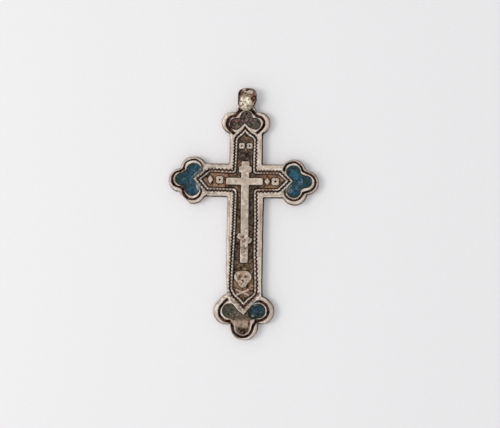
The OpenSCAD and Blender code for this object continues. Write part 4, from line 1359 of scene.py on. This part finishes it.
TONE_CODES = {
    "silver_light": ("EBDFD3", "Silver where it is rubbed bright"),
    # Rubbed white is partly a painted highlight: along the ridges, rims, figures and beads, on the loop's top
    # and on the solder
    "chalk": ("F6EFE7", "Silver rubbed almost white along its ridges"),
    "silver_warm": ("DCCDBE", "Silver over most of the band"),
    "silver_grey": ("C2B2A3", "Silver where a thin film dulls it"),
    # Film also serves as painted shade on the left arm's upper band
    "film": ("88766A", "Thin grey-brown film on the silver"),
    # Soot also stands as painted shade along the outer edge, in the outline's corners, beside the solder and
    # at the enamel's upper edges
    "soot": ("120A06", "Black-brown grime packed in the grooves"),
    # Umber is also painted shade along the outer edge and in the solder's hollows
    "umber": ("4A3527", "Brown patina of the sunk floor"),
    "copper": ("9A6F57", "Copper-brown patina of the side arms"),
    "tawny": ("A07E62", "Tawny patina, where the floor is worn"),
    "tan": ("A88B78", "Warm thin film on the figures"),
    "rosy": ("B9A39C", "Rosy thin film on the band"),
    "rust": ("5C3F36", "Reddish patina low on the right"),
    # Olive is also painted shade in the solder's hollows
    "olive": ("54462E", "Olive patina"),
    "mauve": ("7A5D50", "Mauve-brown patina round the bones"),
    "slate": ("342D2C", "Slate left from the channel's enamel"),
    "beige": ("A48C7C", "Pale film on the bare lobe"),
    "peach": ("B8957A", "Pinkish film on the loop and the figures"),
    "solder": ("DDD0BC", "Dull tin solder"),
    "solder_light": ("F6EAD6", "Solder where it is bright"),
    "teal_glass": ("1D667A", "Brightest teal enamel"),
    "deep_teal_glass": ("0F3F4E", "Deep teal enamel"),
    "blue_glass": ("1B4D68", "Blue enamel"),
    "deep_blue_glass": ("091C24", "Deep blue-grey enamel"),
    "indigo_glass": ("2B4B6A", "Indigo clouds in the blue enamel"),
    "lavender_glass": ("5A7A93", "Pale lavender streaks in the enamel"),
    "green_glass": ("12332C", "Dark green enamel near its walls"),
    "pale_glass": ("66675F", "Enamel worn pale and thin"),
    "haze_glass": ("5B747E", "Bluish haze flecks in the blue enamel"),
    "warm_glass": ("857468", "Warm pale flecks in the dark enamel"),
    "bloom_glass": ("B8B6B0", "Enamel worn right through, whitish"),
    "worn_glass": ("A3A198", "Enamel worn through to a white bloom"),
    "mauve_glass": ("5A4643", "Mauve-grey weathered enamel"),
    "plum_glass": ("594648", "Plum-coloured weathered enamel"),
    "olive_glass": ("5A4F36", "Olive weathered enamel"),
    "red_glass": ("6A382D", "Red-brown weathered enamel"),
    "dark_red_glass": ("3A0F06", "Darkest red-brown enamel at its left tip"),
    "olive_soot_glass": ("26251A", "Olive-black enamel at its lowest edges"),
    "slate_glass": ("423A34", "Dark slate weathered enamel"),
    "grey_glass": ("564E48", "Dark grey weathered enamel"),
    "grey_olive_glass": ("554E3C", "Grey-olive weathered enamel"),
    "green_grey_glass": ("42463A", "Green-grey weathered enamel"),
    "mauve_grey_glass": ("62554D", "Mauve-grey thin enamel"),
    "brown_glass": ("604B3F", "Mauve-brown thin enamel"),
    "paper": ("E8E7E9", "White paper that the cross lies on"),
}


def tone_property(code, description):
    """Colour property whose default is the hex value turned to linear."""
    return FloatVectorProperty(
        name=description, description=description, subtype="COLOR", size=3,
        min=0, max=1, default=linear(code),
    )


class CrossTones(bpy.types.PropertyGroup):
    __annotations__ = {name: tone_property(*row) for name, row in TONE_CODES.items()}


def sizes_of(context):
    """The scene's sizes in millimetres."""
    group = context.scene.cross_sizes
    return SimpleNamespace(**{name: getattr(group, name) / MM for name in group.__annotations__})


def tones_of(context):
    """The scene's tones as plain tuples by name."""
    return {name: tuple(getattr(context.scene.cross_tones, name)) for name in TONE_CODES}


# Operators


def box_round(rows):
    """Box round the lobes of a bed, with some room."""
    return tuple(
        tuple(side(row[k] + way * (row[4] + abs(row[2 + k]) + 0.3) for row in rows) for k in (0, 1))
        for side, way in ((min, -1), (max, 1))
    )


class CROSS_OT_silver_body(bpy.types.Operator):
    """Carves the silver plate with its band, grooves, beds and raised figures"""

    bl_idname = "cross.silver_body"
    bl_label = "Silver body"

    def execute(self, context):
        sizes, tones = sizes_of(context), tones_of(context)
        points, faces, colour, cover, face_count = carved_solid(
            plate_edge, lambda x, y: carve_silver(x, y, sizes, tones), PLATE_BOX,
            sizes.mesh_pitch, SILVER_RINGS, BACK_PITCH,
        )
        # Side wall and back: a thin film, and painted shade that fades down the wall on the sides that face
        # right and down
        x, y, z = points[face_count:].T
        low = Face(x, y, z, tones, "film")
        low.lay("film", np.full(len(x), 0.5))
        darkening = np.clip(edge_shade(x, y), 0, 1) * np.clip(z / 0.7, 0, 1)
        darkening = darkening * inside(-0.3 - plate_edge(x, y), 0.2)
        low.lay("umber", darkening * mottle(x + z, y - z, 0.5, 67, 1, 0.5))
        low.lay("soot", darkening * mottle(x - z, y + z, 0.4, 68, 1.2, 0.1))
        colour[face_count:], cover[face_count:] = low.colour, low.cover
        thing = piece("silver_body", points, faces, cast_silver(tones), "cross_body", colour, cover)
        return {"FINISHED"}


class CROSS_OT_enamels(bpy.types.Operator):
    """Fills the sunk beds with their five pieces of fired enamel"""

    bl_idname = "cross.enamels"
    bl_label = "Enamels"

    def execute(self, context):
        tones, glass = tones_of(context), fired_enamel()
        pitch = 0.8 * sizes_of(context).mesh_pitch
        for name, slot, rows, part, *looks in ENAMELS:
            def edge(x, y):
                return enamel_edge(x, y, rows, part)

            def surface(x, y):
                return fire_enamel(x, y, edge(x, y), tones, *looks)

            points, faces, colour, cover, _ = carved_solid(
                edge, surface, box_round(rows), pitch, ENAMEL_RINGS, SMALL_BACK_PITCH,
            )
            thing = piece(name + "_glass", points, faces, glass, name, colour, cover)
        return {"FINISHED"}


class CROSS_OT_barrel_loop(bpy.types.Operator):
    """Makes the worn barrel loop with the hole for the cord"""

    bl_idname = "cross.barrel_loop"
    bl_label = "Barrel loop"

    def execute(self, context):
        tones = tones_of(context)
        x, y, z, front, faces = barrel_loop()
        face = Face(x, y, z, tones, "film")
        face.lay("film", 0.35 * (1 - front))
        face.lay_spots(LOOP_STAINS_AND_PAINTED_LIGHT, front)
        rim = np.maximum(inside(z - 2.15, 0.5), inside(LOOP_HALF_W - 0.2 - np.abs(x - LOOP_X), 0.15))
        face.mottle(LOOP_RIM_MOTTLES, rim * inside(1.2 - z, 0.7))
        face.mottle(LOOP_MOTTLES, front)
        face.mottle(LOOP_SPECKS, lessened(front, x, y, LOOP_DARKS))
        points, metal = np.stack([x, y, z], 1), cast_silver(tones, "worn_silver_loop")
        thing = piece("barrel_loop", points, faces, metal, "cross_body", face.colour, face.cover)
        return {"FINISHED"}


class CROSS_OT_solder_drop(bpy.types.Operator):
    """Makes the lumpy drop of solder that holds the loop"""

    bl_idname = "cross.solder_drop"
    bl_label = "Solder drop"

    def execute(self, context):
        tones = tones_of(context)
        cx, cy, r = SOLDER_LOBES[0]
        box = ((cx - r - 0.6, cy - r - 0.6), (cx + r + 0.6, cy + r + 0.6))
        points, faces, colour, cover, _ = carved_solid(
            drop_edge, lambda x, y: melt_drop(x, y, tones), box, SOLDER_PITCH, SOLDER_RINGS, SMALL_BACK_PITCH,
        )
        thing = piece("solder_drop", points, faces, tin_solder(tones), "cross_body", colour, cover)
        return {"FINISHED"}


class CROSS_OT_stage(bpy.types.Operator):
    """Lays the paper and sets the lights, the surroundings and the camera"""

    bl_idname = "cross.stage"
    bl_label = "Stage"

    def execute(self, context):
        lay_paper(context.scene, tones_of(context)["paper"])
        light_room(context.scene)
        hang_window(context.scene)
        place_camera(context.scene)
        return {"FINISHED"}


class CROSS_PT_sidebar(bpy.types.Panel):
    """The cross's pieces, sizes and tones"""

    bl_label = "Pectoral cross"
    bl_idname = "CROSS_PT_sidebar"
    bl_space_type = "VIEW_3D"
    bl_region_type = "UI"
    bl_category = "Cross"

    def draw(self, context):
        layout = self.layout
        for operator in OPERATORS:
            layout.operator(operator.bl_idname)
        for group in (context.scene.cross_sizes, context.scene.cross_tones):
            box = layout.box()
            for name in group.__annotations__:
                box.prop(group, name)


OPERATORS = (
    CROSS_OT_silver_body, CROSS_OT_enamels, CROSS_OT_barrel_loop, CROSS_OT_solder_drop, CROSS_OT_stage,
)
CLASSES = (CrossSizes, CrossTones, *OPERATORS, CROSS_PT_sidebar)


def register():
    for one in CLASSES:
        bpy.utils.register_class(one)
    bpy.types.Scene.cross_sizes = PointerProperty(type=CrossSizes)
    bpy.types.Scene.cross_tones = PointerProperty(type=CrossTones)


def unregister():
    del bpy.types.Scene.cross_tones
    del bpy.types.Scene.cross_sizes
    for one in reversed(CLASSES):
        bpy.utils.unregister_class(one)


def main():
    register()
    bpy.ops.cross.silver_body()
    bpy.ops.cross.enamels()
    bpy.ops.cross.barrel_loop()
    bpy.ops.cross.solder_drop()
    bpy.ops.cross.stage()


if __name__ == "__main__":
    main()
